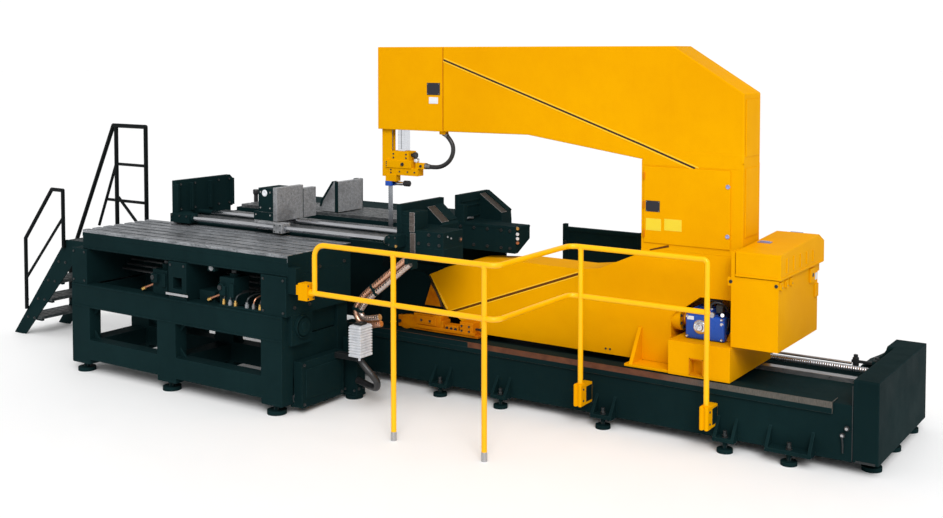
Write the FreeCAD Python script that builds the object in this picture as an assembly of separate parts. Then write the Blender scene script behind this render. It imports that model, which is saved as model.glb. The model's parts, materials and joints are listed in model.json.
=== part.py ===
import FreeCAD, Part
import math
import os

os.makedirs("parts", exist_ok=True)
V = FreeCAD.Vector

# Travelling-frame vertical band saw. Millimetres, +Z up, floor at z = 0.
# The layout below is set out from the right-hand end of the bed (x = 0 there)
# and from the bed's front face (y = 0); the whole is then shifted so that the
# origin is at the middle of the footprint on the floor.
SHIFT_X = 3376.0
SHIFT_Y = -207.0

# ---- driving dimensions -------------------------------------------------
BED_LEFT, BED_RIGHT = -3700.0, -137.0      # bed casting along X
BED_DEPTH = 830.0
BED_Z0, BED_Z1 = 63.0, 376.0               # underside on its feet, top
END_DEPTH, END_TOP = 1056.0, 516.0         # end block
FRAME_Y0, FRAME_Y1 = 150.0, 415.0          # saw frame plates, front and back
FRAME_TOP = 2310.0
THROAT_LEFT, THROAT_RIGHT = -3500.0, -1466.0
HEAD_SEAM = -2941.0
COLUMN_RIGHT = -822.0
SADDLE_L, SADDLE_R = -1216.0, -835.0
SADDLE_Z0, SADDLE_TOP = 385.0, 585.0
BAND_X0, BAND_X1 = -3450.0, -3409.0        # 41 mm wide band
BAND_Y, BAND_T = 200.0, 2.0
TABLE_L, TABLE_R = -5296.0, -3337.0        # T-slot table
TABLE_Y0, TABLE_Y1 = -960.0, -350.0
TABLE_TOP = 1016.0
SLOT_PITCH, SLOT_W, SLOT_COUNT = 95.0, 32.0, 6
STAND_L, STAND_R = -5400.0, -3370.0
LANE_TOP = 1035.0
JAW_X = -4000.0                            # working face of the sliding jaws
STOP_X = -2950.0                           # working face of the fixed jaws
RAIL_R, RAIL_TOP, RAIL_MID = 16.0, 1100.0, 800.0
LID_L, LID_R = -815.0, -552.0
HINGE_Y = 800.0


def box(x0, x1, y0, y1, z0, z1):
    return Part.makeBox(x1 - x0, y1 - y0, z1 - z0, V(x0, y0, z0))


def prism_xz(pts, y0, y1):
    wire = Part.makePolygon([V(x, y0, z) for x, z in pts] + [V(pts[0][0], y0, pts[0][1])])
    return Part.Face(wire).extrude(V(0, y1 - y0, 0))


def prism_yz(pts, x0, x1):
    wire = Part.makePolygon([V(x0, y, z) for y, z in pts] + [V(x0, pts[0][0], pts[0][1])])
    return Part.Face(wire).extrude(V(x1 - x0, 0, 0))


def prism_xy(pts, z0, z1):
    wire = Part.makePolygon([V(x, y, z0) for x, y in pts] + [V(pts[0][0], pts[0][1], z0)])
    return Part.Face(wire).extrude(V(0, 0, z1 - z0))


def cyl(x, y, z, axis, r, length):
    d = {"x": V(1, 0, 0), "y": V(0, 1, 0), "z": V(0, 0, 1)}[axis]
    return Part.makeCylinder(r, length, V(x, y, z), d)


def fuse(items):
    out = items[0]
    for s in items[1:]:
        out = out.fuse(s)
    return out.removeSplitter()


def rounded_path(points, radii):
    """Wire of straight runs joined by tangent arcs."""
    pts = [V(*p) for p in points]
    edges, start = [], pts[0]
    for i in range(1, len(pts) - 1):
        a, b, c = pts[i - 1], pts[i], pts[i + 1]
        u = (a - b).normalize()
        w = (c - b).normalize()
        turn = math.pi - u.getAngle(w)
        r = radii[i - 1]
        t = r * math.tan(turn / 2.0)
        p0 = b + u * t
        p1 = b + w * t
        bis = (u + w).normalize()
        centre = b + bis * (r / math.cos(turn / 2.0))
        mid = centre - bis * r
        if (p0 - start).Length > 1e-3:
            edges.append(Part.LineSegment(start, p0).toShape())
        edges.append(Part.Arc(p0, mid, p1).toShape())
        start = p1
    edges.append(Part.LineSegment(start, pts[-1]).toShape())
    return Part.Wire(edges)


def tube(points, radii, r, inner=0.0):
    path = rounded_path(points, radii) if len(points) > 2 else Part.Wire(
        [Part.LineSegment(V(*points[0]), V(*points[1])).toShape()])
    d = (V(*points[1]) - V(*points[0])).normalize()
    prof = Part.Wire([Part.Circle(V(*points[0]), d, r).toShape()])
    return path.makePipeShell([prof], True, False), path


def rod(p, q, r):
    a, b = V(*p), V(*q)
    return Part.makeCylinder(r, (b - a).Length, a, b - a)


parts = {}

# ---- bed ----------------------------------------------------------------
parts["saw_bed"] = fuse([
    box(BED_LEFT, BED_RIGHT, 0, BED_DEPTH, BED_Z0, 350),
    box(BED_LEFT, BED_RIGHT, 0, 110, 350, BED_Z1 - 3),
    box(BED_LEFT, BED_RIGHT, 795, BED_DEPTH, 350, BED_Z1),
])
# L-shaped way strip over the front wall
parts["front_way"] = prism_yz([(-14, 314), (0, 314), (0, 373), (92, 373), (92, 379), (-14, 379)],
                              BED_LEFT, -245)
parts["rear_way"] = box(BED_LEFT, BED_RIGHT, 515, 575, 350, 379)
# end block with a hollow-curved shoulder behind the bed
shoulder = prism_xz([(BED_RIGHT, END_TOP), (-178, END_TOP), (-186, 490), (-205, 462), (-235, 434), (-275, 408), (-335, 376),
                     (-335, 200), (BED_RIGHT, 200)], BED_DEPTH, END_DEPTH)
parts["end_block"] = fuse([box(BED_RIGHT, 0, 0, END_DEPTH, BED_Z0, END_TOP), shoulder])
SCREW_Y, SCREW_Z = 712.0, 385.0
parts["feed_screw"] = cyl(-2990, SCREW_Y, SCREW_Z, "x", 20, 2990 - 225)
parts["screw_bearings"] = Part.makeCompound([
    box(-225, BED_RIGHT, 682, 760, 350, 450),
    box(-3060, -2990, 682, 760, 350, 430),
])


def bed_foot(x0, x1, y_face, out):
    """Levelling bracket on the bed side with two ribs, stud and pad; out = -1 front, +1 back."""
    y1 = y_face
    y2 = y_face + out * 75.0
    a, b = min(y1, y2), max(y1, y2)
    s = [box(x0, x1, a, b, 63, 85)]
    for xr in (x0, x1 - 18):
        s.append(prism_yz([(y1, 85), (y2, 85), (y1, 190)], xr, xr + 18))
    xc = 0.5 * (x0 + x1)
    yc = y_face + out * 42.0
    s.append(cyl(xc, yc, 20, "z", 14, 43))
    s.append(cyl(xc, yc, 0, "z", 46, 22))
    return fuse(s)


FEET = [(-2900, -2760), (-2412, -2300), (-1690, -1550), (-905, -780), (-600, -340)]
parts["bed_feet"] = Part.makeCompound(
    [bed_foot(a, b, 0.0, -1) for a, b in FEET] + [bed_foot(a, b, BED_DEPTH, 1) for a, b in FEET[:-1]]
    + [fuse([cyl(-68, y, 0, "z", 55, 24), cyl(-68, y, 24, "z", 20, BED_Z0 - 24)]) for y in (130, 530, 930)])

# ---- table stand --------------------------------------------------------
LEGS = [(-5400, -5210), (-4510, -4330), (-3550, STAND_R)]


def stand_side(y0, y1):
    s = [box(STAND_L, STAND_R, y0, y1, 465, 630), box(STAND_L, STAND_R, y0, y1, 95, 235)]
    for a, b in LEGS:
        s.append(box(a, b, y0, y1, 60, 630))
    return fuse(s)


parts["stand_front_frame"] = stand_side(-980, -880)
parts["stand_rear_frame"] = stand_side(-450, -350)
rails = []
for a, b in LEGS:
    rails.append(box(a + 25, b - 25, -880, -450, 480, 615))
    rails.append(box(a + 25, b - 25, -880, -450, 105, 220))
parts["stand_cross_rails"] = Part.makeCompound(rails)
parts["stand_feet"] = Part.makeCompound(
    [fuse([cyl(0.5 * (a + b), y, 0, "z", 62, 26), cyl(0.5 * (a + b), y, 26, "z", 22, 34)])
     for a, b in LEGS for y in (-930, -400)])
sup = []
for a, b in ((-5400, -5240), (-4395, -4225), (-3550, -3337)):
    sup.append(box(a, b, -975, TABLE_Y1, 630, 880))
sup[1] = sup[1].cut(box(-4352, -4268, -976, TABLE_Y1 + 1, 700, 776))
parts["table_supports"] = Part.makeCompound(sup)
parts["table_plate"] = box(TABLE_L, TABLE_R, TABLE_Y0, TABLE_Y1, 880, 972)
# lands of the T-slots: wide on top, necked below, standing on the plate
lands, y = [], TABLE_Y0
edges = [TABLE_Y0]
first = TABLE_Y0 + 67.5
slots = [first + i * SLOT_PITCH for i in range(SLOT_COUNT)]
for yc in slots:
    edges += [yc - SLOT_W / 2.0, yc + SLOT_W / 2.0]
edges.append(TABLE_Y1)
for i in range(0, len(edges), 2):
    y0, y1 = edges[i], edges[i + 1]
    l0 = y0 if i == 0 else y0 + 9.0
    l1 = y1 if i == len(edges) - 2 else y1 - 9.0
    lands.append(prism_yz([(l0, 972), (l1, 972), (l1, 990), (y1, 990), (y1, TABLE_TOP), (y0, TABLE_TOP),
                           (y0, 990), (l0, 990)], TABLE_L, TABLE_R))
parts["table_lands"] = Part.makeCompound(lands)
parts["valve_blocks"] = Part.makeCompound([
    fuse([box(-4600, -4460, -930, -790, 630, 800), box(-4585, -4530, -960, -930, 715, 775)]),
    fuse([box(-3960, -3830, -930, -790, 630, 815), box(-3940, -3890, -955, -930, 700, 760)]),
    fuse([box(-4180, -4040, -900, -760, 630, 700)]),
])
parts["side_units"] = Part.makeCompound([
    fuse([box(STAND_R, -3336, -925, -735, 440, 630), cyl(-3336, -830, 550, "x", 70, 22)]),
    fuse([box(STAND_R, -3302, -870, -470, 40, 330), box(-3390, STAND_R, -880, -450, 40, 60)]),
    box(-3392, -3378, -880, -450, 225, 475)])

# ---- clamping lanes -----------------------------------------------------
parts["front_lane_beam"] = fuse([
    box(-5040, -2790, -345, 125, 950, LANE_TOP), box(-2790, -2590, -345, -125, 950, LANE_TOP),
    box(-5040, -4940, 125, 300, 960, LANE_TOP),
    box(-4970, -4777, -440, -352, 1036, 1098), box(-4970, -4880, -440, -300, LANE_TOP, 1098), box(-2880, -2790, -410, -345, 900, 990)])
parts["rear_lane_beam"] = fuse([box(-5040, -3100, 300, 1150, 960, 1060), box(-3100, -2950, 300, 700, 960, 1060)])
legs = []
for x in (-4980, -3950, -3260):
    legs.append(box(x, x + 150, 930, 1130, 0, 960))
legs += [box(-4830, -3950, 960, 1100, 150, 290), box(-3800, -3260, 960, 1100, 150, 290)]
parts["lane_legs"] = Part.makeCompound([
    fuse(legs), box(-3700, -3580, -330, -170, 0, 950), box(-4980, -4860, -330, -170, 0, 950)])
# dark sheet between the bed trough and the rear lane
parts["splash_panel"] = fuse([
    box(-4200, -3700, 480, 500, 300, 960), box(-3700, -2955, 480, 500, 350, 960), box(-2955, -2650, 480, 500, 350, 935)])
parts["lane_strips"] = Part.makeCompound([
    box(-4970, -2952, -260, -180, LANE_TOP, 1062), box(-4970, -2952, -52, 28, LANE_TOP, 1062),
    box(-4970, -2952, 50, 120, LANE_TOP, 1062)] + [
    box(-4990, -2956, y0, y0 + 84, 1060, 1086) for y0 in (304, 404, 504, 604)])
ROD_A = (-400.0, 1070.0)
ROD_B = (-150.0, 1080.0)
ROD_R = 17.0
parts["jaw_rods"] = Part.makeCompound([
    cyl(-4777, ROD_A[0], ROD_A[1], "x", ROD_R, 4777 - 2997),
    cyl(-4970, ROD_B[0], ROD_B[1], "x", ROD_R, 4970 - 2950)])
ribbed = [prism_yz([(-385, LANE_TOP), (170, LANE_TOP), (170, 1090), (190, 1090), (190, 1305), (165, 1330), (-385, 1330)],
                   -5010, -4970)]
for y0 in (-385, -245, -60, 168):
    ribbed.append(box(-4970, -4948, y0, y0 + 20, 1100, 1304))
parts["ribbed_end_plate"] = fuse(ribbed)

# sliding jaws: face plate towards +X with a block and gusset behind
jaw1 = fuse([
    box(JAW_X - 36, JAW_X, -345, -75, 1100, 1334),
    box(JAW_X - 36, JAW_X, -75, 60, 1100, 1308),
    box(JAW_X - 172, JAW_X - 36, -345, -140, 1100, 1325),
    box(JAW_X - 218, JAW_X - 36, -345, -75, 1041, 1159),
    box(JAW_X - 150, JAW_X + 130, -378, -352, 1044, 1098),
    box(JAW_X - 150, JAW_X - 60, -354, -340, 1044, 1098),
    box(JAW_X + 51, JAW_X + 130, -440, -352, 1040, 1104),
])
jaw1 = jaw1.cut(cyl(JAW_X - 400, ROD_A[0], ROD_A[1], "x", ROD_R + 1.0, 600))
jaw1 = jaw1.cut(cyl(JAW_X - 400, ROD_B[0], ROD_B[1], "x", ROD_R + 1.0, 600))
jaw1 = jaw1.cut(box(JAW_X - 400, JAW_X + 10, -266, -174, 1030, 1068))
parts["front_sliding_jaw"] = jaw1
jaw2 = [
    box(JAW_X - 30, JAW_X, 305, 590, 1092, 1318),
    box(JAW_X - 180, JAW_X - 30, 305, 590, 1092, 1130),
    prism_xz([(JAW_X - 180, 1130), (JAW_X - 165, 1170), (JAW_X - 55, 1318), (JAW_X - 30, 1318), (JAW_X - 30, 1130)],
             305, 340),
    prism_xz([(JAW_X - 180, 1130), (JAW_X - 165, 1170), (JAW_X - 55, 1318), (JAW_X - 30, 1318), (JAW_X - 30, 1130)],
             555, 590),
]
parts["rear_sliding_jaw"] = fuse(jaw2)

# fixed jaws at the right
R1_END = -2590.0
parts["front_fixed_jaw"] = fuse([
    box(STOP_X, STOP_X + 35, -352, 123, LANE_TOP, 1298),
    box(STOP_X + 35, -2810, -345, -205, LANE_TOP, 1255),
    box(STOP_X + 35, R1_END, -345, -125, LANE_TOP, 1140),
    box(STOP_X + 35, -2790, -125, 112, LANE_TOP, 1140),
    prism_xz([(STOP_X + 35, 1140), (STOP_X + 35, 1250), (-2802, 1156), (-2790, 1140)], -66, 112),
    box(STOP_X, -2880, -445, -345, 1035, 1112),
    cyl(-2997, ROD_A[0], ROD_A[1], "x", 30, 50),
])
R2_END = -2460.0
parts["rear_fixed_jaw"] = fuse([
    box(STOP_X, STOP_X + 35, 300, 690, 1092, 1294),
    prism_yz([(300, 931), (335, 931), (490, 1011), (490, 1105), (300, 1112)], STOP_X, R2_END),
    box(STOP_X, -2730, 490, 690, 1040, 1100),
    prism_xz([(STOP_X + 35, 1100), (STOP_X + 35, 1278), (-2735, 1156), (-2730, 1100)], 560, 690),
    box(STOP_X + 35, STOP_X + 75, 300, 345, 1100, 1230),
])
# framed sheet standing behind the bed, on feet that reach backwards
panel = [box(-2450, -1870, 958, 982, 60, 1030), box(-2466, -2440, 950, 990, 0, 1056), box(-1880, -1854, 950, 990, 0, 1036),
         box(-2440, -1880, 950, 990, 1008, 1034), box(-2440, -1880, 950, 990, 60, 100)]
for x0 in (-2466, -1880):
    panel.append(box(x0, x0 + 26, 990, 1406, 0, 40))
    panel.append(prism_yz([(990, 560), (990, 600), (1396, 40), (1366, 40)], x0, x0 + 26))
parts["rear_guard_panel"] = fuse(panel)

# ---- stair at the left end ----------------------------------------------
ST_Y0, ST_Y1 = -500.0, -90.0
stringer = [(-6752, 0), (-6610, 0), (-5890, 745), (-5400, 745), (-5400, 812), (-6085, 812)]
parts["stair_stringers"] = Part.makeCompound([
    prism_xz(stringer, ST_Y0 - 12, ST_Y0), prism_xz(stringer, ST_Y1, ST_Y1 + 12)])
treads = []
for i, z in enumerate((160, 322, 484, 646)):
    xm = -6752 + 71 + (z - 20) * (6752 - 6085) / 812.0
    treads.append(box(xm - 60, xm + 150, ST_Y0, ST_Y1, z - 22, z))
treads.append(box(-6080, STAND_L, ST_Y0, ST_Y1, 780, 806))
parts["stair_treads"] = Part.makeCompound(treads)


def rails_of(lines, r):
    return fuse([rod(p, q, r) for p, q in lines] + [Part.makeSphere(r, V(*q)) for p, q in lines if q[2] > 700])


yl = ST_Y0 - 12 - 15
parts["low_handrail"] = fuse([
    rod((-6565, yl, 215), (-6565, yl, 785), 15), rod((-6565, yl, 785), (-6222, yl, 1200), 15),
    rod((-6222, yl, 1200), (-6088, yl, 1200), 15), rod((-6088, yl, 1200), (-6088, yl, 750), 15),
    rod((-6565, yl, 460), (-6088, yl, 990), 11),
    Part.makeSphere(15, V(-6565, yl, 785)), Part.makeSphere(15, V(-6222, yl, 1200)),
    Part.makeSphere(15, V(-6088, yl, 1200))])
yh = ST_Y1 + 12 + 17
parts["high_handrail"] = fuse([
    rod((-6620, yh, 150), (-6620, yh, 540), 17), rod((-6620, yh, 540), (-6052, yh, 1685), 17),
    rod((-6052, yh, 1685), (-5668, yh, 1685), 17), rod((-6020, yh, 745), (-6020, yh, 1685), 17),
    rod((-5668, yh, 745), (-5668, yh, 1685), 17), rod((-6020, yh, 1375), (-5668, yh, 1375), 12),
    rod((-6128, yh, 1080), (-5668, yh, 1080), 12), rod((-6245, yh, 860), (-6020, yh, 1385), 12),
    rod((-6000, yh, 1105), (-5740, yh, 880), 12),
    Part.makeSphere(17, V(-6620, yh, 540)), Part.makeSphere(17, V(-6052, yh, 1685)),
    Part.makeSphere(17, V(-5668, yh, 1685))])

# ---- guard rail ---------------------------------------------------------
GY = -935.0
P0, P1, P2 = -3135.0, -2528.0, -1894.0
P3, P4, GB = -1745.0, -933.0, -100.0


PF, PB = P2 + RAIL_R, P3 - RAIL_R           # where the side rails join the front and rear panels
bend = tube([(P0, GY, RAIL_MID), (P0, GY, RAIL_TOP), (PF, GY, RAIL_TOP)], [75.0], RAIL_R)[0]
parts["guard_rail_front"] = fuse([
    bend,
    rod((P1, GY, 0), (P1, GY, RAIL_TOP), RAIL_R), rod((P2, GY, 0), (P2, GY, RAIL_TOP), RAIL_R),
    rod((-3168, GY, RAIL_MID), (PF, GY, RAIL_MID), RAIL_R),
    rod((-3168, GY, RAIL_MID), (-3152, GY, RAIL_MID), RAIL_R + 5)])
parts["guard_rail_side"] = Part.makeCompound([
    tube([(PF, GY, z), (PF + 63, GY, z), (PB - 60, GB, z), (PB, GB, z)], [58.0, 58.0], RAIL_R)[0]
    for z in (RAIL_TOP, RAIL_MID)])
bend2 = tube([(PB, GB, RAIL_TOP), (P4, GB, RAIL_TOP), (P4, GB, 150)], [26.0], RAIL_R)[0]
parts["guard_rail_rear"] = fuse([
    bend2, rod((P3, GB, 150), (P3, GB, RAIL_TOP), RAIL_R), rod((PB, GB, RAIL_MID), (P4, GB, RAIL_MID), RAIL_R)])
br = [fuse([box(TABLE_R, -3270, -958, GY + 22, 884, 940), box(-3290, -3270, -958, GY + 22, 780, 940),
            box(-3270, -3235, GY - 22, GY + 18, 780, 840), box(-3240, -3168, GY - 34, GY + 34, 752, 856)])]
for x in (P3, P4):
    br.append(box(x - 27, x + 27, GB - 35, 0, 136, 260).cut(rod((x, GB, 150), (x, GB, 300), RAIL_R)))
parts["rail_brackets"] = Part.makeCompound(br)

# ---- saw frame (moves along X) ------------------------------------------
saddle = fuse([
    box(SADDLE_L, SADDLE_R, 0, 674, SADDLE_Z0, SADDLE_TOP),
    box(-1507, SADDLE_L, 10, 600, SADDLE_Z0, 400),
    box(-1230 + 14, -1090, 674, 750, 362, 440),
])
saddle = saddle.cut(box(-1080, -1000, -1, 60, 400, 492))
saddle = saddle.cut(cyl(-1400, SCREW_Y, SCREW_Z, "x", 25, 500))
gusset = prism_yz([(12, 400), (150, 400), (150, 602), (142, 602)], -1478, -1456)
parts["saddle"] = fuse([saddle, gusset])
opening = [(-1267, 560), (-1268, 685), (-1232, 728), (-1184, 753), (-1081, 830), (-906, 832), (-880, 832),
           (-880, 668), (-915, 590), (-915, 560)]
arm = [(-3055, 755), (-2895, 825), (-2723, 880), (-2316, 912), (-1896, 911), (-1747, 932), (-1466, 1056),
       (-1466, 1085), (-845, 1085), (-845, 587), (-1218, 587), (-1218, 402), (-2659, 402), (-2911, 530)]
# the drive flange stands at the left side of the opening
flange = fuse([cyl(-1275, 225, 675, "x", 75, 65), cyl(-1210, 225, 675, "x", 40, 50)])
parts["lower_arm"] = fuse([
    prism_xz(arm, FRAME_Y0, FRAME_Y1).cut(prism_xz(opening, FRAME_Y0 - 5, FRAME_Y1 - 25)), flange])
DOOR_L, DOOR_R, DOOR_Z0, DOOR_Z1 = -1445.0, -898.0, 1125.0, 1585.0
parts["column"] = box(THROAT_RIGHT, COLUMN_RIGHT, 265, FRAME_Y1, 1085, 1626)
front = box(THROAT_RIGHT, COLUMN_RIGHT, FRAME_Y0, 265, 1085, 1626)
parts["column_front"] = front.cut(box(-1420, -925, FRAME_Y0 - 1, 266, 1150, 1562))
parts["column_door"] = fuse([box(DOOR_L, DOOR_R, 142, 148.5, DOOR_Z0, DOOR_Z1)] + [
    cyl(DOOR_L, 142, z0, "z", 6.5, 44) for z0 in (1158, 1333, 1508)])
parts["upper_arm"] = prism_xz([(HEAD_SEAM, FRAME_TOP), (-1267, FRAME_TOP), (COLUMN_RIGHT, 2033), (COLUMN_RIGHT, 1626),
                               (THROAT_RIGHT, 1626), (-2275, 1742), (HEAD_SEAM, 1738)], FRAME_Y0, FRAME_Y1)
head = box(THROAT_LEFT, HEAD_SEAM, 166, FRAME_Y1, 1737, FRAME_TOP)
head = head.cut(box(-3492, -3225, 172, 272, 1730, 2120))
parts["head_housing"] = fuse([head, box(-2992, -2945, 176, 224, 1715, 1737)])
parts["head_cover"] = box(THROAT_LEFT, HEAD_SEAM - 2, FRAME_Y0, 166, 1737, FRAME_TOP)

# drive seen through the opening in the lower arm
parts["drive_gearbox"] = fuse([
    box(-1150, -908, 95, 145, 587, 733), box(-1150, -960, 140, 330, 587, 740), box(-1120, -985, 120, 300, 740, 770),
    cyl(-960, 200, 665, "x", 55, 46)])
parts["drive_hub"] = cyl(-1055, 70, 664, "y", 42, 25)


# rear cabinet: open-topped box behind the lid
cab = box(-843, -566, 30, 722, 590, 995)
cab = cab.cut(box(-828, -581, 45, 707, 605, 1000))
cab = cab.fuse(box(-843, -808, 140, 425, 590, 995)).cut(box(-850, -817, 145, 420, 580, 1000))
for x0 in (-790, -630):
    cab = cab.fuse(box(x0, x0 + 50, 722, 800, 940, 994)).fuse(cyl(x0, HINGE_Y, 1000, "x", 9, 50))
cab = cab.fuse(box(-843, -821, 30, 134, 990, 1136))
parts["rear_cabinet"] = cab.removeSplitter()
lid = prism_yz([(25, 1000), (25, 1138), (40, 1143), (700, 1176), (HINGE_Y, 1128), (HINGE_Y, 1000)], LID_L, LID_R)
lid = lid.cut(prism_yz([(40, 999), (40, 1126), (700, 1160), (HINGE_Y - 15, 1116), (HINGE_Y - 15, 999)],
                       LID_L + 12, LID_R - 12))
for x0 in (-790, -630):
    lid = lid.cut(cyl(x0 - 4, HINGE_Y, 1000, "x", 14, 58))
parts["cabinet_lid"] = lid.fuse(cyl(-730, HINGE_Y, 1000, "x", 9, 90)).removeSplitter()

# band and its lower end
parts["band"] = box(BAND_X0, BAND_X1, BAND_Y - BAND_T / 2, BAND_Y + BAND_T / 2, 560, 2060)
guard = prism_xz([(-3480, 362), (-3480, 700), (-3420, 765), (-3120, 765), (-3058, 735), (-2925, 540), (-2935, 505),
                  (-3080, 362)], 160, FRAME_Y1 - 5)
guard = guard.cut(box(-3456, -3403, 188, 212, 555, 800))
guard = guard.cut(prism_xz(arm, 100, 500))
parts["lower_wheel_guard"] = guard
low_guide = fuse([
    box(-3475, -3372, 166, 234, 765, 800), box(-3475, -3390, 170, 230, 800, 850),
]).cut(box(-3460, -3399, 193, 207, 760, 860))
bracket = fuse([
    box(-3124, -2600, 60, 150, 388, 404), box(-3124, -2900, 60, 158, 404, 500),
    box(-3255, -3124, 60, 90, 392, 470),
])
plate = prism_xz([(-3034, 700), (-3090, 545), (-2945, 545)], 140, 160)
parts["lower_guide"] = Part.makeCompound([low_guide, bracket, plate])

# ---- band guide (moves along Z) -----------------------------------------
parts["guide_post"] = box(-3350, -3290, 185, 245, 1586, 1975)
gh = fuse([
    box(-3401, -3250, 172, 262, 1522, 1586),
    box(-3452, -3227, 168, 262, 1470, 1522),
    box(-3425, -3175, 175, 245, 1418, 1470),
    box(-3195, -3122, 178, 222, 1470, 1510),
    box(-3452, -3361, 172, 228, 1372, 1418),
])
gh = gh.cut(box(-3462, -3399, 193, 207, 1300, 1600))
parts["guide_head"] = gh
parts["guide_rollers"] = Part.makeCompound([
    box(-3456, -3399, 172, 193, 1338, 1372), box(-3456, -3399, 207, 228, 1338, 1372)])
parts["guide_knobs"] = Part.makeCompound([
    fuse([cyl(-3399, 217, 1355, "x", 14, 78), cyl(-3321, 217, 1358, "x", 20, 50)]),
    cyl(-3200, 200, 1510, "z", 22, 30)])
guard_u = box(-3484, -3399, 178, 226, 1405, 1790)
guard_u = guard_u.cut(box(-3476, -3395, 187, 217, 1400, 1800))
guard_u = guard_u.cut(box(-3400 - 1, -3395, 170, 230, 1400, 1800))
guard_u = guard_u.cut(gh)
parts["band_guard"] = guard_u

# ---- hose from the guide arm to the head --------------------------------
HOSE_R = 15.0
hose_pts = [(-3119.5, 200, 1490), (-3052, 200, 1484), (-2978, 200, 1496), (-2915, 200, 1540), (-2886, 200, 1608),
            (-2906, 200, 1676), (-2962, 200, 1722)]
radii = []
for i in range(1, len(hose_pts) - 1):
    a, b, c = V(*hose_pts[i - 1]), V(*hose_pts[i]), V(*hose_pts[i + 1])
    t = math.pi - (a - b).getAngle(c - b)
    radii.append(0.45 * min((a - b).Length, (c - b).Length) / math.tan(t / 2.0))
print("hose radii", [round(r) for r in radii])
hose, hose_path = tube(hose_pts, radii, HOSE_R)
print("hose length", round(hose_path.Length, 1), "volume ratio",
      round(hose.Volume / (math.pi * HOSE_R ** 2 * hose_path.Length), 4))
parts["guide_hose"] = hose

# ---- curved conduit and canister beside the stand -----------------------
con_pts = [(-2790, -440, 958), (-2976, -440, 814), (-3149, -440, 681), (-3210, -440, 595), (-3175, -440, 532), (-3100, -440, 530), (-3014, -440, 554)]
radii = []
for i in range(1, len(con_pts) - 1):
    a, b, c = V(*con_pts[i - 1]), V(*con_pts[i]), V(*con_pts[i + 1])
    t = math.pi - (a - b).getAngle(c - b)
    radii.append(0.45 * min((a - b).Length, (c - b).Length) / math.tan(t / 2.0))
path = rounded_path(con_pts, radii)
d = (V(*con_pts[1]) - V(*con_pts[0])).normalize()
side = V(0, 1, 0)
up = d.cross(side).normalize()
c0 = V(*con_pts[0])
w2, h2 = 24.0, 42.0
prof = Part.makePolygon([c0 + side * sy * w2 + up * su * h2 for sy, su in ((-1, -1), (1, -1), (1, 1), (-1, 1), (-1, -1))])
parts["conduit"] = path.makePipeShell([prof], True, False)
CX0, CX1, CY0, CY1, CZ0, CZ1 = -3153, -3053, -600, -474, 334, 536
can = [box(CX0, CX1, CY0, CY1, CZ0, CZ1), box(CX0 + 20, CX1 - 20, CY0 + 30, CY1 - 30, CZ1, CZ1 + 14),
       box(-3302, CX0 + 40, -560, -510, 296, CZ0)]
can.append(fuse([box(-3336, -3222, -430, -345, 20, 400), cyl(-3279, -388, 0, "z", 58, 22),
                 box(-3222, -3160, -430, -400, 240, 300)]))
parts["filter_canister"] = fuse(can[:3])
parts["canister_post"] = can[3]

# ---- write out ----------------------------------------------------------
total = 0.0
bb = None
for name, shape in parts.items():
    s = shape.copy()
    s.translate(V(SHIFT_X, SHIFT_Y, 0))
    if not s.isValid():
        print("INVALID", name)
    total += s.Volume
    bb = s.BoundBox if bb is None else bb.united(s.BoundBox)
    s.exportStep("parts/%s.step" % name)
print(len(parts), "nodes, volume m3", round(total / 1e9, 4))
print("box", [round(v, 1) for v in (bb.XMin, bb.XMax, bb.YMin, bb.YMax, bb.ZMin, bb.ZMax)])
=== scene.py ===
import json
import math
import bpy
import bmesh
from mathutils import Matrix, Vector


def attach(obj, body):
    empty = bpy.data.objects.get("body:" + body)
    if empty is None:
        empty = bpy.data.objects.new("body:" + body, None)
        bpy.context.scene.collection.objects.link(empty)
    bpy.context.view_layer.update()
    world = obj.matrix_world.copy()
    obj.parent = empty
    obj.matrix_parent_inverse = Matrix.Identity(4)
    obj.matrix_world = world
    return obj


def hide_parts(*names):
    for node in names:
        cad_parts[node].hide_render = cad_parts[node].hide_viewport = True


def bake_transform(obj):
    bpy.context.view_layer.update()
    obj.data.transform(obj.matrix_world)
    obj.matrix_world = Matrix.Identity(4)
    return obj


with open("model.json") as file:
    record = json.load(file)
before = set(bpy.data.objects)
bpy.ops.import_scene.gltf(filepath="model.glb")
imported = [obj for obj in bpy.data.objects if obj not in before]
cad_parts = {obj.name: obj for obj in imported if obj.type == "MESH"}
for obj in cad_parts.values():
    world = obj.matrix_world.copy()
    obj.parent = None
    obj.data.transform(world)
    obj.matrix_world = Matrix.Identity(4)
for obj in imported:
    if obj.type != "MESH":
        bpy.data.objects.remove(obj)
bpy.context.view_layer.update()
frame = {"nodes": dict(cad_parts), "record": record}
N = frame["nodes"]
scene = bpy.context.scene
SX, SY = 3.376, -0.207   # set-out frame (mm) to the row frame (m)


def W(x, y, z):
    return Vector((x / 1000.0 + SX, y / 1000.0 + SY, z / 1000.0))


# ---------------------------------------------------------------- camera
cam_data = bpy.data.cameras.new("cam")
cam_data.lens = 45.10
cam_data.sensor_width = 36.0
cam_data.sensor_fit = "HORIZONTAL"
cam_data.shift_y = -0.1613
cam_data.clip_end = 400.0
cam = bpy.data.objects.new("cam", cam_data)
scene.collection.objects.link(cam)
cam.location = (5.0383, -6.5524, 2.2683)
cam.rotation_euler = (math.pi / 2 - 0.0456, 0.0, 0.5924)
scene.camera = cam


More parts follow.
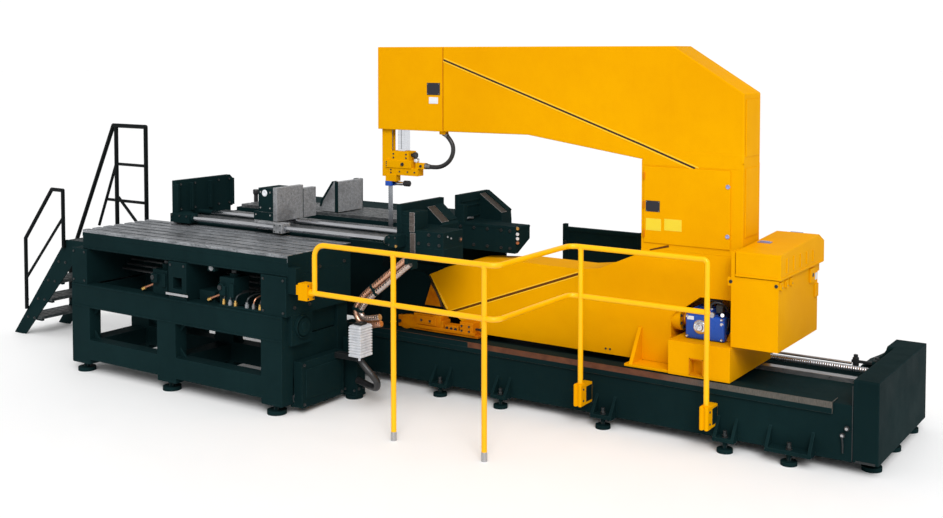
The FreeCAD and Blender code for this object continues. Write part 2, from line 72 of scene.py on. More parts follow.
# ---------------------------------------------------------------- materials
class Mat:
    """Small builder for a procedural material; every pattern is in row-frame metres."""

    def __init__(self, name):
        self.m = bpy.data.materials.new(name)
        self.m.use_nodes = True
        self.t = self.m.node_tree
        self.t.nodes.clear()
        self.b = self.t.nodes.new("ShaderNodeBsdfPrincipled")
        out = self.t.nodes.new("ShaderNodeOutputMaterial")
        self.t.links.new(self.b.outputs[0], out.inputs[0])
        self.co = self.t.nodes.new("ShaderNodeTexCoord").outputs["Object"]

    def n(self, kind):
        return self.t.nodes.new(kind)

    def put(self, sock, val):
        if hasattr(val, "is_output"):
            self.t.links.new(val, sock)
        else:
            sock.default_value = val

    def scaled(self, s):
        mp = self.n("ShaderNodeMapping")
        self.put(mp.inputs["Vector"], self.co)
        mp.inputs["Scale"].default_value = s
        return mp.outputs[0]

    def noise(self, scale, detail=4.0, rough=0.55, stretch=None, dist=0.0):
        k = self.n("ShaderNodeTexNoise")
        self.put(k.inputs["Vector"], self.scaled(stretch) if stretch else self.co)
        k.inputs["Scale"].default_value = scale
        k.inputs["Detail"].default_value = detail
        k.inputs["Roughness"].default_value = rough
        k.inputs["Distortion"].default_value = dist
        return k.outputs["Fac"]

    def voronoi(self, scale, stretch=None, feature="F1", out="Distance"):
        k = self.n("ShaderNodeTexVoronoi")
        k.feature = feature
        self.put(k.inputs["Vector"], self.scaled(stretch) if stretch else self.co)
        k.inputs["Scale"].default_value = scale
        return k.outputs[out]

    def wave(self, scale, direction="X", dist=0.0, detail=2.0, kind="BANDS", profile="SIN"):
        k = self.n("ShaderNodeTexWave")
        k.wave_type = kind
        k.bands_direction = direction
        k.wave_profile = profile
        self.put(k.inputs["Vector"], self.co)
        k.inputs["Scale"].default_value = scale
        k.inputs["Distortion"].default_value = dist
        k.inputs["Detail"].default_value = detail
        return k.outputs["Fac"]

    def rng(self, v, a, b, c=0.0, d=1.0):
        k = self.n("ShaderNodeMapRange")
        self.put(k.inputs["Value"], v)
        for i, x in zip((1, 2, 3, 4), (a, b, c, d)):
            k.inputs[i].default_value = x
        return k.outputs[0]

    def math(self, op, a, b=0.0):
        k = self.n("ShaderNodeMath")
        k.operation = op
        self.put(k.inputs[0], a)
        self.put(k.inputs[1], b)
        return k.outputs[0]

    def mix(self, f, a, b, mode="MIX"):
        k = self.n("ShaderNodeMix")
        k.data_type = "RGBA"
        k.blend_type = mode
        self.put(k.inputs[0], f)
        for i, c in ((6, a), (7, b)):
            self.put(k.inputs[i], (*c, 1.0) if isinstance(c, tuple) and len(c) == 3 else c)
        return k.outputs[2]

    def edge(self, radius):
        """1 near an edge, 0 on a flat."""
        bev = self.n("ShaderNodeBevel")
        bev.samples = 4
        bev.inputs["Radius"].default_value = radius
        geo = self.n("ShaderNodeNewGeometry")
        dot = self.n("ShaderNodeVectorMath")
        dot.operation = "DOT_PRODUCT"
        self.t.links.new(bev.outputs[0], dot.inputs[0])
        self.t.links.new(geo.outputs["Normal"], dot.inputs[1])
        return self.rng(dot.outputs["Value"], 0.995, 0.90)

    def bump(self, h, strength, dist, chain=None):
        k = self.n("ShaderNodeBump")
        k.inputs["Strength"].default_value = strength
        k.inputs["Distance"].default_value = dist
        self.put(k.inputs["Height"], h)
        if chain is not None:
            self.put(k.inputs["Normal"], chain)
        return k.outputs[0]

    def end(self, col=None, rough=None, metal=0.0, normal=None, coat=0.0, coat_r=0.1, spec=0.5, ior=1.5, aniso=0.0):
        i = self.b.inputs
        if col is not None:
            self.put(i["Base Color"], (*col, 1.0) if isinstance(col, tuple) and len(col) == 3 else col)
        if rough is not None:
            self.put(i["Roughness"], rough)
        self.put(i["Metallic"], metal)
        i["Coat Weight"].default_value = coat
        i["Coat Roughness"].default_value = coat_r
        i["Specular IOR Level"].default_value = spec
        i["IOR"].default_value = ior
        i["Anisotropic"].default_value = aniso
        if normal is not None:
            self.put(i["Normal"], normal)
        return self.m


def paint(name, col, dark, edge_wear_and_highlight, rough=(0.34, 0.5), coat=0.2, coat_r=0.12, spec=0.4, edge_r=0.004, edge_amt=0.6,
          peel=0.25, streak=0.25, cast=0.0):
    k = Mat(name)
    broad = k.rng(k.noise(0.9, 3.0), 0.35, 0.68)
    c = k.mix(k.math("MULTIPLY", broad, 0.55), col, dark)
    fine = k.rng(k.noise(11.0, 6.0, 0.62), 0.42, 0.75)
    c = k.mix(k.math("MULTIPLY", fine, 0.22), c, dark)
    runs = k.rng(k.noise(1.0, 5.0, 0.6, stretch=(16.0, 16.0, 1.3)), 0.56, 0.8)
    c = k.mix(k.math("MULTIPLY", runs, streak), c, dark)
    specks = k.rng(k.noise(85.0, 2.0, 0.5), 0.69, 0.74)
    c = k.mix(k.math("MULTIPLY", specks, 0.25), c, dark)
    # Lighter edges: partly worn paint, partly a painted highlight along each edge.
    e = k.math("MULTIPLY", k.edge(edge_r), k.rng(k.noise(24.0, 4.0, 0.7), 0.38, 0.62))
    c = k.mix(k.math("MULTIPLY", e, edge_amt), c, edge_wear_and_highlight)
    r = k.rng(k.noise(4.0, 5.0, 0.65), 0.3, 0.7, rough[0], rough[1])
    nb = k.bump(k.noise(420.0, 2.0, 0.5), peel, 0.0005)
    if cast > 0.0:
        nb = k.bump(k.noise(95.0, 4.0, 0.6), cast, 0.002, nb)
    nb = k.bump(k.noise(3.2, 2.0, 0.5), 0.12, 0.004, nb)
    return k.end(c, r, 0.0, nb, coat, coat_r, spec)


def metal(name, col, dark, rough=(0.2, 0.4), stretch=(2.0, 60.0, 60.0), scale=6.0, metallic=0.9, spec=0.5, bump=0.15,
          stain=0.3, edge_amt=0.3, edge_wear_and_highlight=(0.8, 0.8, 0.8)):
    k = Mat(name)
    brushed = k.noise(scale, 6.0, 0.7, stretch=stretch)
    c = k.mix(k.rng(brushed, 0.35, 0.68), col, dark)
    st = k.rng(k.noise(7.0, 5.0, 0.6, dist=0.4), 0.5, 0.72)
    c = k.mix(k.math("MULTIPLY", st, stain), c, (dark[0] * 0.5, dark[1] * 0.48, dark[2] * 0.45))
    # Lighter edges: partly wear, partly a painted highlight along each edge.
    e = k.edge(0.003)
    c = k.mix(k.math("MULTIPLY", e, edge_amt), c, edge_wear_and_highlight)
    r = k.rng(k.noise(16.0, 5.0, 0.7), 0.3, 0.7, rough[0], rough[1])
    nb = k.bump(brushed, bump, 0.0008)
    return k.end(c, r, metallic, nb, 0.0, 0.1, spec)


# The third colour of each paint is its edge colour: partly worn paint, partly a painted highlight.
dark_paint = paint("dark_enamel", (0.0056, 0.0190, 0.0205), (0.0024, 0.0085, 0.0095), (0.022, 0.050, 0.054),
                   rough=(0.55, 0.7), coat=0.0, spec=0.02, edge_r=0.005, edge_amt=0.55, cast=0.10)
flange_red = paint("primer_brown_red", (0.42, 0.075, 0.012), (0.26, 0.045, 0.010), (0.7, 0.25, 0.06), rough=(0.4, 0.5),
                   coat=0.0, spec=0.3)
dark_gloss = paint("dark_tube_enamel", (0.0035, 0.0055, 0.006), (0.002, 0.003, 0.003), (0.02, 0.03, 0.03),
                   rough=(0.34, 0.46), coat=0.0, spec=0.08, edge_r=0.003, edge_amt=0.4)
orange = paint("orange_enamel", (0.79, 0.365, 0.0), (0.68, 0.275, 0.0), (0.92, 0.50, 0.003),
               rough=(0.5, 0.62), coat=0.0, coat_r=0.2, spec=0.015, edge_r=0.005, edge_amt=0.45, streak=0.14)
# Darker copy of the orange enamel for parts that sit in shade: painted shade.
orange_shade_tone = paint("orange_cast_enamel_shade_tone", (0.62, 0.20, 0.0), (0.42, 0.10, 0.001), (0.9, 0.45, 0.01),
                    rough=(0.4, 0.55), coat=0.0, spec=0.07, edge_r=0.004, edge_amt=0.5, cast=0.25)
rail_yellow = paint("yellow_enamel", (0.95, 0.52, 0.0), (0.85, 0.36, 0.0), (1.0, 0.72, 0.02),
                    rough=(0.28, 0.4), coat=0.08, coat_r=0.12, spec=0.25, edge_r=0.003, edge_amt=0.3, peel=0.12)
# Brighter yellow for the stripe borders and the nose edge: painted highlight.
stripe_highlight_yellow = paint("stripe_highlight_yellow", (0.92, 0.52, 0.0), (0.84, 0.42, 0.0), (0.98, 0.62, 0.02), rough=(0.35, 0.45),
                      coat=0.1, spec=0.4, edge_amt=0.2)
stripe_dark = paint("stripe_dark", (0.040, 0.016, 0.005), (0.020, 0.008, 0.003), (0.09, 0.04, 0.02), rough=(0.4, 0.5),
                    coat=0.0, spec=0.3, edge_amt=0.2)
stripe_brown = paint("stripe_brown", (0.135, 0.045, 0.006), (0.085, 0.028, 0.004), (0.22, 0.09, 0.02), rough=(0.4, 0.5),
                     coat=0.0, spec=0.05, edge_amt=0.2)
blue_paint = paint("blue_enamel", (0.006, 0.085, 0.50), (0.003, 0.035, 0.25), (0.15, 0.35, 0.85), rough=(0.22, 0.34),
                   coat=0.12, coat_r=0.1, spec=0.3, edge_r=0.004, edge_amt=0.35, cast=0.12)
plate_black = paint("plate_black", (0.008, 0.008, 0.018), (0.003, 0.003, 0.006), (0.08, 0.08, 0.10), rough=(0.3, 0.4),
                    coat=0.2, spec=0.4, edge_amt=0.4)
plate_lime = paint("plate_lime", (0.80, 0.62, 0.02), (0.70, 0.48, 0.01), (0.90, 0.74, 0.12), rough=(0.4, 0.5),
                   coat=0.1, spec=0.4, edge_amt=0.3)
plate_white = paint("plate_white", (0.78, 0.80, 0.84), (0.62, 0.64, 0.70), (0.95, 0.95, 0.97), rough=(0.35, 0.45),
                    coat=0.2, spec=0.4, edge_amt=0.3)
lock_blue = metal("lock_metal", (0.42, 0.46, 0.78), (0.22, 0.25, 0.50), rough=(0.2, 0.3), metallic=0.7)
chrome = metal("hard_chrome", (0.78, 0.79, 0.82), (0.58, 0.60, 0.64), rough=(0.10, 0.2), stretch=(1.0, 30.0, 30.0),
               stain=0.08, bump=0.04, metallic=1.0)
steel = metal("ground_steel", (0.52, 0.52, 0.53), (0.34, 0.34, 0.35), rough=(0.25, 0.42), stain=0.2)
zinc = metal("zinc_bolts", (0.30, 0.30, 0.30), (0.16, 0.16, 0.16), rough=(0.3, 0.45), stretch=(30.0, 30.0, 30.0))
dark_bolt = metal("black_bolts", (0.035, 0.04, 0.042), (0.015, 0.018, 0.02), rough=(0.35, 0.5),
                  stretch=(30.0, 30.0, 30.0), metallic=0.6, edge_wear_and_highlight=(0.2, 0.2, 0.2))
def speckled_way():
    """Way face: reddish brown grease on the left, bare hatched steel on the right."""
    k = Mat("greased_way")
    sep = k.n("ShaderNodeSeparateXYZ")
    k.put(sep.inputs[0], k.co)
    along = k.math("ADD", sep.outputs[0], k.math("MULTIPLY", k.noise(3.0, 4.0), 0.5))
    bare = k.rng(along, -1.30 + 3.376 + 0.25, -0.95 + 3.376 + 0.25)
    brown = k.mix(k.rng(k.noise(14.0, 5.0), 0.35, 0.65), (0.135, 0.048, 0.022), (0.085, 0.030, 0.015))
    hatch = k.rng(k.noise(7.0, 5.0, 0.7, stretch=(90.0, 6.0, 6.0)), 0.4, 0.62)
    grey = k.mix(hatch, (0.125, 0.115, 0.10), (0.055, 0.052, 0.045))
    c = k.mix(bare, brown, grey)
    return k.end(c, k.rng(k.noise(20.0, 4.0), 0.3, 0.7, 0.42, 0.6), 0.2, k.bump(hatch, 0.2, 0.0008), 0.0, 0.1, 0.25)


def guide_bracket_mat():
    """Cast orange bracket in the darker orange that stands for shade, with lighter edges, partly wear and partly a
    painted highlight; the small guide block high above it is dark.
    """
    k = Mat("guide_bracket")
    sep = k.n("ShaderNodeSeparateXYZ")
    k.put(sep.inputs[0], k.co)
    high = k.rng(sep.outputs[2], 0.742, 0.748)
    # Body in the darker orange: painted shade.
    body = k.mix(k.rng(k.noise(9.0, 5.0), 0.35, 0.65), (0.62, 0.20, 0.0), (0.42, 0.10, 0.001))
    body = k.mix(k.math("MULTIPLY", k.edge(0.004), 0.5), body, (0.90, 0.45, 0.01))
    dark = k.mix(k.rng(k.noise(12.0, 5.0), 0.35, 0.65), (0.006, 0.012, 0.013), (0.012, 0.02, 0.022))
    c = k.mix(high, body, dark)
    return k.end(c, k.rng(k.noise(8.0, 4.0), 0.3, 0.7, 0.42, 0.56), 0.0, k.bump(k.noise(95.0, 4.0, 0.6), 0.25, 0.002), 0.0,
                 0.1, 0.06)


bracket_mat = guide_bracket_mat()
brass = metal("brass", (0.72, 0.46, 0.14), (0.45, 0.26, 0.07), rough=(0.2, 0.35), stretch=(40.0, 40.0, 40.0),
              edge_wear_and_highlight=(0.95, 0.75, 0.35))
copper = metal("copper_pipe", (0.62, 0.30, 0.18), (0.36, 0.15, 0.09), rough=(0.22, 0.38), stretch=(40.0, 40.0, 40.0),
               edge_wear_and_highlight=(0.95, 0.6, 0.45))
way_brown = speckled_way()
band_steel = metal("band_steel", (0.44, 0.46, 0.49), (0.26, 0.28, 0.31), rough=(0.22, 0.36),
                   stretch=(60.0, 60.0, 2.0))
way_bare = metal("way_steel", (0.36, 0.33, 0.30), (0.20, 0.17, 0.14), rough=(0.3, 0.45), stain=0.35)
screw_steel = metal("screw_steel", (0.58, 0.58, 0.60), (0.33, 0.33, 0.35), rough=(0.16, 0.3),
                    stretch=(30.0, 5.0, 5.0))


def speckled(name, light, mid, dark, sc=(26.0, 90.0), rough=(0.32, 0.55), metallic=0.45, stretch=(1.0, 2.2, 2.2)):
    """Machined grey iron with worn patches, chatter along X and oil stains."""
    k = Mat(name)
    big = k.rng(k.noise(sc[0], 6.0, 0.68, stretch=stretch, dist=0.6), 0.40, 0.62)
    c = k.mix(big, mid, light)
    fine = k.rng(k.noise(sc[1], 4.0, 0.7), 0.50, 0.68)
    c = k.mix(k.math("MULTIPLY", fine, 0.7), c, dark)
    cut = k.noise(5.0, 5.0, 0.7, stretch=(1.2, 70.0, 70.0))
    c = k.mix(k.math("MULTIPLY", k.rng(cut, 0.5, 0.72), 0.35), c, dark)
    oil = k.rng(k.noise(3.4, 4.0, 0.6, dist=0.8), 0.52, 0.70)
    c = k.mix(k.math("MULTIPLY", oil, 0.55), c, (dark[0] * 0.6, dark[1] * 0.6, dark[2] * 0.6))
    # Lighter edges: partly wear, partly a painted highlight along each edge.
    e = k.edge(0.004)
    c = k.mix(k.math("MULTIPLY", e, 0.5), c, (0.75, 0.76, 0.78))
    r = k.rng(big, 0.0, 1.0, rough[1], rough[0])
    nb = k.bump(k.noise(160.0, 4.0, 0.7), 0.35, 0.0012)
    nb = k.bump(cut, 0.2, 0.0008, nb)
    return k.end(c, r, metallic, nb, 0.0, 0.1, 0.4)


table_iron = speckled("table_iron", (0.36, 0.375, 0.40), (0.12, 0.13, 0.14), (0.018, 0.022, 0.026), sc=(14.0, 70.0),
                      stretch=(0.35, 3.0, 3.0))
lane_iron = speckled("lane_iron", (0.16, 0.165, 0.17), (0.06, 0.068, 0.072), (0.02, 0.024, 0.026))
jaw_iron = speckled("jaw_iron", (0.35, 0.36, 0.375), (0.235, 0.24, 0.25), (0.11, 0.114, 0.12), sc=(60.0, 240.0),
                    rough=(0.5, 0.65), metallic=0.2, stretch=(1.0, 1.0, 1.0))
rusty = speckled("worn_olive_strip", (0.048, 0.036, 0.026), (0.030, 0.023, 0.017), (0.016, 0.013, 0.010),
                 sc=(40.0, 160.0), rough=(0.45, 0.6), metallic=0.1)


worn_bar = speckled("worn_bar", (0.115, 0.095, 0.085), (0.075, 0.060, 0.052), (0.03, 0.024, 0.02), sc=(50.0, 200.0),
                    rough=(0.45, 0.6), metallic=0.1, stretch=(1.0, 1.0, 1.0))


def rubber_mat():
    k = Mat("black_rubber")
    c = k.mix(k.rng(k.noise(30.0, 5.0), 0.35, 0.7), (0.010, 0.010, 0.011), (0.024, 0.024, 0.025))
    r = k.rng(k.noise(12.0, 4.0), 0.3, 0.7, 0.3, 0.45)
    return k.end(c, r, 0.0, k.bump(k.noise(500.0, 2.0), 0.2, 0.0004), 0.0, 0.1, 0.5)


def plastic(name, col, dark, rough=(0.35, 0.5)):
    k = Mat(name)
    c = k.mix(k.rng(k.noise(18.0, 5.0, 0.6), 0.38, 0.7), col, dark)
    # Lighter edges: partly wear, partly a painted highlight along each edge.
    e = k.edge(0.003)
    c = k.mix(k.math("MULTIPLY", e, 0.25), c, (min(1, col[0] * 1.3), min(1, col[1] * 1.3), min(1, col[2] * 1.3)))
    r = k.rng(k.noise(9.0, 4.0), 0.3, 0.7, rough[0], rough[1])
    return k.end(c, r, 0.0, k.bump(k.noise(320.0, 3.0, 0.6), 0.25, 0.0005), 0.1, 0.2, 0.45)


rubber = rubber_mat()
white_plastic = plastic("white_plastic", (0.66, 0.68, 0.71), (0.48, 0.50, 0.54))
black_plastic = plastic("black_plastic", (0.018, 0.018, 0.020), (0.008, 0.008, 0.009))
grey_plastic = plastic("grey_plastic", (0.25, 0.26, 0.27), (0.16, 0.17, 0.18))
louver_dark = plastic("louver_shadow", (0.30, 0.11, 0.005), (0.16, 0.05, 0.004))
conduit_m = metal("conduit_metal", (0.62, 0.58, 0.56), (0.40, 0.30, 0.25), rough=(0.22, 0.38),
                  stretch=(20.0, 20.0, 20.0), edge_wear_and_highlight=(0.95, 0.70, 0.55), edge_amt=0.6)


# Warm pink metal for the second strand of the flat conduit: painted reflection of the orange machine.
conduit_orange_reflection = metal("conduit_painted_orange_reflection", (0.78, 0.47, 0.33), (0.42, 0.22, 0.14), rough=(0.22, 0.38), stretch=(20.0, 20.0, 20.0),
                  edge_wear_and_highlight=(1.0, 0.75, 0.6), edge_amt=0.5)


def tread_mat():
    k = Mat("chequer_plate")
    v = k.voronoi(38.0, feature="SMOOTH_F1")
    c = k.mix(k.rng(v, 0.2, 0.5), (0.045, 0.055, 0.056), (0.012, 0.018, 0.02))
    w = k.rng(k.noise(6.0, 5.0), 0.5, 0.7)
    c = k.mix(k.math("MULTIPLY", w, 0.5), c, (0.09, 0.095, 0.095))
    return k.end(c, k.rng(k.noise(9.0, 4.0), 0.3, 0.7, 0.4, 0.55), 0.15, k.bump(v, -0.5, 0.003), 0.0, 0.1, 0.35)


tread = tread_mat()

# ---------------------------------------------------------------- carried-over CAD nodes
SLOT_MATS = {
    "dark_paint": dark_paint, "orange_paint": orange, "rail_paint": rail_yellow, "ground_steel": steel,
    "chrome_steel": chrome, "grey_iron": jaw_iron, "way_steel": way_bare, "band_steel": band_steel,
    "blue_paint": blue_paint, "black_plastic": black_plastic, "hose_rubber": rubber, "conduit_metal": conduit_m,
    "canister_white": white_plastic}
NODE_SLOT = {s["node"]: s["material_slot"] for s in frame["record"]["subparts"]}
SPECIAL = {"table_lands": table_iron, "lane_strips": lane_iron, "low_handrail": dark_gloss, "high_handrail": dark_gloss,
           "stair_treads": tread, "lower_guide": bracket_mat, "front_way": way_brown, "feed_screw": screw_steel, "rear_way": steel,
           "band": band_steel, "drive_hub": chrome}
NO_BEVEL = {"guard_rail_front", "guard_rail_side", "guard_rail_rear", "low_handrail", "high_handrail", "guide_hose",
            "drive_hub", "jaw_rods", "feed_screw", "band", "conduit"}
BEVEL = {"saw_bed": 8, "end_block": 10, "upper_arm": 7, "lower_arm": 7, "column": 7, "column_front": 4, "head_housing": 5,
         "head_cover": 4, "cabinet_lid": 6, "rear_cabinet": 4, "saddle": 6, "table_plate": 4, "table_lands": 1.5,
         "stand_front_frame": 5, "stand_rear_frame": 5, "column_door": 2, "front_way": 1.5, "rear_way": 1.5,
         "rear_guard_panel": 3, "lane_strips": 1.5, "guide_post": 2, "bed_feet": 2.0, "stand_feet": 2.0}


def set_mat(o, m):
    if not o.material_slots:
        o.data.materials.append(m)
    for s in o.material_slots:
        s.material = m


def soften(o, width, angle=32.0, seg=2):
    w = o.modifiers.new("weld", "WELD")
    w.merge_threshold = 0.00002
    b = o.modifiers.new("bevel", "BEVEL")
    b.width = width / 1000.0
    b.segments = seg
    b.limit_method = "ANGLE"
    b.angle_limit = math.radians(angle)
    b.use_clamp_overlap = True
    n = o.modifiers.new("weighted", "WEIGHTED_NORMAL")
    n.mode = "FACE_AREA"
    n.weight = 60


for name, o in N.items():
    set_mat(o, SPECIAL.get(name, SLOT_MATS[NODE_SLOT[name]]))
    if name not in NO_BEVEL:
        soften(o, BEVEL.get(name, 3.0))


# ---------------------------------------------------------------- mesh helpers
def put(bm, t, mi):
    for f in t.faces:
        f.material_index = mi
    me = bpy.data.meshes.new("t")
    t.to_mesh(me)
    t.free()
    bm.from_mesh(me)
    bpy.data.meshes.remove(me)


def bevel_all(t, b, seg, edges=None):
    if b > 0:
        bmesh.ops.bevel(t, geom=list(edges if edges is not None else t.edges), offset=b / 1000.0, segments=seg,
                        profile=0.5, affect="EDGES", clamp_overlap=True)


def bx(bm, x0, x1, y0, y1, z0, z1, b=2.0, seg=2, mi=0):
    t = bmesh.new()
    bmesh.ops.create_cube(t, size=1.0)
    a, c = W(min(x0, x1), min(y0, y1), min(z0, z1)), W(max(x0, x1), max(y0, y1), max(z0, z1))
    for v in t.verts:
        v.co = Vector([a[i] + (v.co[i] + 0.5) * (c[i] - a[i]) for i in range(3)])
    bevel_all(t, b, seg)
    put(bm, t, mi)


def poly(bm, pts, plane, a0, a1, b=2.0, seg=2, mi=0):
    at = {"xz": lambda p, a: W(p[0], a, p[1]), "yz": lambda p, a: W(a, p[0], p[1]),
          "xy": lambda p, a: W(p[0], p[1], a)}[plane]
    t = bmesh.new()
    lo = [t.verts.new(at(p, a0)) for p in pts]
    hi = [t.verts.new(at(p, a1)) for p in pts]
    t.faces.new(lo)
    t.faces.new(hi[::-1])
    for i in range(len(pts)):
        t.faces.new((lo[i], lo[i - 1], hi[i - 1], hi[i]))
    bmesh.ops.recalc_face_normals(t, faces=t.faces[:])
    bevel_all(t, b, seg)
    put(bm, t, mi)


def cy(bm, p, n, r, length, seg=24, b=1.0, mi=0, r2=None, socket=0.0):
    d = Vector(n).normalized()
    t = bmesh.new()
    bmesh.ops.create_cone(t, cap_ends=True, cap_tris=False, segments=seg, radius1=r / 1000.0,
                          radius2=(r if r2 is None else r2) / 1000.0, depth=length / 1000.0)
    rim = [e for e in t.edges if any(len(f.verts) > 4 or (seg <= 4 and abs(f.normal.z) > 0.9) for f in e.link_faces)]
    if b > 0:
        bevel_all(t, min(b, r * 0.45, length * 0.45), 2, rim)
    if socket > 0.0:
        top = max((f for f in t.faces if len(f.verts) >= 6 and f.normal.z > 0.9), key=lambda f: f.calc_center_median().z)
        bmesh.ops.inset_region(t, faces=[top], thickness=r * (1 - socket) / 1000.0, use_even_offset=True)
        bmesh.ops.translate(t, verts=top.verts[:], vec=(0, 0, -length * 0.4 / 1000.0))
        bmesh.ops.inset_region(t, faces=[top], thickness=0.0002)
    m = Matrix.Translation(W(*p) + d * (length / 2000.0)) @ d.to_track_quat("Z", "Y").to_matrix().to_4x4()
    bmesh.ops.transform(t, matrix=m, verts=t.verts[:])
    put(bm, t, mi)


def bolt(bm, p, n, s=16.0, mi=0, washer=True):
    """Hexagon head with washer; s is the width across flats."""
    d = Vector(n).normalized()
    q = Vector(p)
    if washer:
        cy(bm, q, d, s * 0.72, 2.0, seg=20, b=0.5, mi=mi)
        q = q + d * 2.0
    cy(bm, q, d, s * 0.577, s * 0.55, seg=6, b=s * 0.06, mi=mi)


def cap(bm, p, n, r=7.0, h=7.0, mi=0):
    """Socket cap screw."""
    cy(bm, p, n, r, h, seg=20, b=0.8, mi=mi, socket=0.55)


def curve_points(pts, per=8):
    """Smooth line through the points (Catmull-Rom)."""
    P = [Vector(p) for p in pts]
    if len(P) < 3:
        return [P[0].lerp(P[-1], i / 4.0) for i in range(5)]
    out = []
    for i in range(len(P) - 1):
        p0, p1, p2, p3 = P[max(i - 1, 0)], P[i], P[i + 1], P[min(i + 2, len(P) - 1)]
        for j in range(per):
            t = j / per
            out.append(0.5 * ((2 * p1) + (-p0 + p2) * t + (2 * p0 - 5 * p1 + 4 * p2 - p3) * t * t
                              + (-p0 + 3 * p1 - 3 * p2 + p3) * t ** 3))
    out.append(P[-1])
    return out


def sweep(bm, pts, radius, seg=12, mi=0, flat=None, caps=True):
    """Tube along a line of layout points; flat=(half width, half height, side vector) gives a ribbon."""
    t = bmesh.new()
    rings, up = [], None
    for i, p in enumerate(pts):
        a, c = pts[max(i - 1, 0)], pts[min(i + 1, len(pts) - 1)]
        d = (c - a).normalized()
        if up is None:
            up = d.orthogonal().normalized()
        up = (up - d * up.dot(d)).normalized()
        side = d.cross(up)
        ring = []
        for k in range(seg):
            th = 2 * math.pi * k / seg
            if flat:
                sv = Vector(flat[2])
                sv = (sv - d * sv.dot(d)).normalized()
                nv = d.cross(sv)
                cs, sn = math.cos(th), math.sin(th)
                q = p + sv * flat[0] * math.copysign(abs(cs) ** 0.35, cs) + nv * flat[1] * math.copysign(abs(sn) ** 0.35, sn)
            else:
                r = radius(i) if callable(radius) else radius
                q = p + (up * math.cos(th) + side * math.sin(th)) * r
            ring.append(t.verts.new(W(*q)))
        rings.append(ring)
    for a, c in zip(rings, rings[1:]):
        for k in range(seg):
            t.faces.new((a[k - 1], a[k], c[k], c[k - 1]))
    if caps:
        t.faces.new(rings[0][::-1])
        t.faces.new(rings[-1])
    bmesh.ops.recalc_face_normals(t, faces=t.faces[:])
    put(bm, t, mi)


def lathe(bm, p, n, prof, seg=32, mi=0):
    """Solid of revolution; prof is (radius, distance along n) pairs from one end to the other."""
    d = Vector(n).normalized()
    rot = d.to_track_quat("Z", "Y").to_matrix()
    t = bmesh.new()
    rings = []
    for r, h in prof:
        if r <= 1e-6:
            rings.append([t.verts.new(W(*(Vector(p) + d * h)))])
        else:
            rings.append([t.verts.new(W(*(Vector(p) + d * h + rot @ Vector((r * math.cos(2 * math.pi * k / seg),
                                                                              r * math.sin(2 * math.pi * k / seg), 0)))))
                          for k in range(seg)])
    for a, c in zip(rings, rings[1:]):
        for k in range(seg):
            if len(a) == 1 and len(c) > 1:
                t.faces.new((a[0], c[k], c[k - 1]))
            elif len(c) == 1 and len(a) > 1:
                t.faces.new((a[k - 1], a[k], c[0]))
            elif len(a) > 1:
                t.faces.new((a[k - 1], a[k], c[k], c[k - 1]))
    if len(rings[0]) > 1:
        t.faces.new(rings[0][::-1])
    if len(rings[-1]) > 1:
        t.faces.new(rings[-1])
    bmesh.ops.recalc_face_normals(t, faces=t.faces[:])
    put(bm, t, mi)


def done(bm, name, mats, body, sharp=36.0):
    me = bpy.data.meshes.new(name)
    bm.to_mesh(me)
    bm.free()
    for m in mats:
        me.materials.append(m)
    me.polygons.foreach_set("use_smooth", [True] * len(me.polygons))
    me.set_sharp_from_angle(angle=math.radians(sharp))
    o = bpy.data.objects.new(name, me)
    scene.collection.objects.link(o)
    n = o.modifiers.new("weighted", "WEIGHTED_NORMAL")
    n.mode = "FACE_AREA"
    n.weight = 60
    n.keep_sharp = True
    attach(o, body)
    return o


NX, PX, NY, PY, NZ, PZ = (-1, 0, 0), (1, 0, 0), (0, -1, 0), (0, 1, 0), (0, 0, -1), (0, 0, 1)

# ---------------------------------------------------------------- guide hose (cord)
HOSE = [(-3121.5, 200, 1490), (-3052, 200, 1484), (-2978, 200, 1496), (-2915, 200, 1540), (-2886, 200, 1608),
        (-2906, 200, 1676), (-2962, 200, 1722)]


def hose_curve(name, bevel):
    cu = bpy.data.curves.new(name, "CURVE")
    cu.dimensions = "3D"
    cu.resolution_u = 10
    sp = cu.splines.new("NURBS")
    sp.points.add(len(HOSE) - 1)
    for p, q in zip(sp.points, HOSE):
        p.co = (*W(*q), 1.0)
    sp.order_u = 3
    sp.use_endpoint_u = True
    cu.bevel_depth = bevel
    cu.bevel_resolution = 5
    cu.use_fill_caps = bevel > 0
    return bpy.data.objects.new(name, cu)


line = hose_curve("hose_line", 0.0)
thick = hose_curve("hose_thick", 0.015)
for o in (line, thick):
    scene.collection.objects.link(o)
bpy.context.view_layer.update()
dg = bpy.context.evaluated_depsgraph_get()
line_mesh = bpy.data.meshes.new_from_object(line.evaluated_get(dg))
hose_mesh = bpy.data.meshes.new_from_object(thick.evaluated_get(dg))
for o in (line, thick):
    bpy.data.objects.remove(o)
hose = bpy.data.objects.new("hose", hose_mesh)
scene.collection.objects.link(hose)
hose_mesh.materials.clear()
hose_mesh.materials.append(rubber)
hose_mesh.polygons.foreach_set("use_smooth", [True] * len(hose_mesh.polygons))
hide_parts("guide_hose")
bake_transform(hose)

# strain reliefs at both ends of the hose
bm = bmesh.new()
lathe(bm, (-3121, 200, 1490), (1, 0, -0.08), [(16, -6), (21, -4), (21, 8), (19, 10), (19, 22), (17.5, 30), (16, 40)], 20)
done(bm, "hose_ferrule_low", [zinc], "guide")
bm = bmesh.new()
lathe(bm, (-2966, 200, 1726), (1, 0, -0.8), [(21, -4), (22, 0), (22, 9), (19, 12), (18, 24), (16.5, 34)], 20)
done(bm, "hose_ferrule_high", [zinc], "saw_frame")

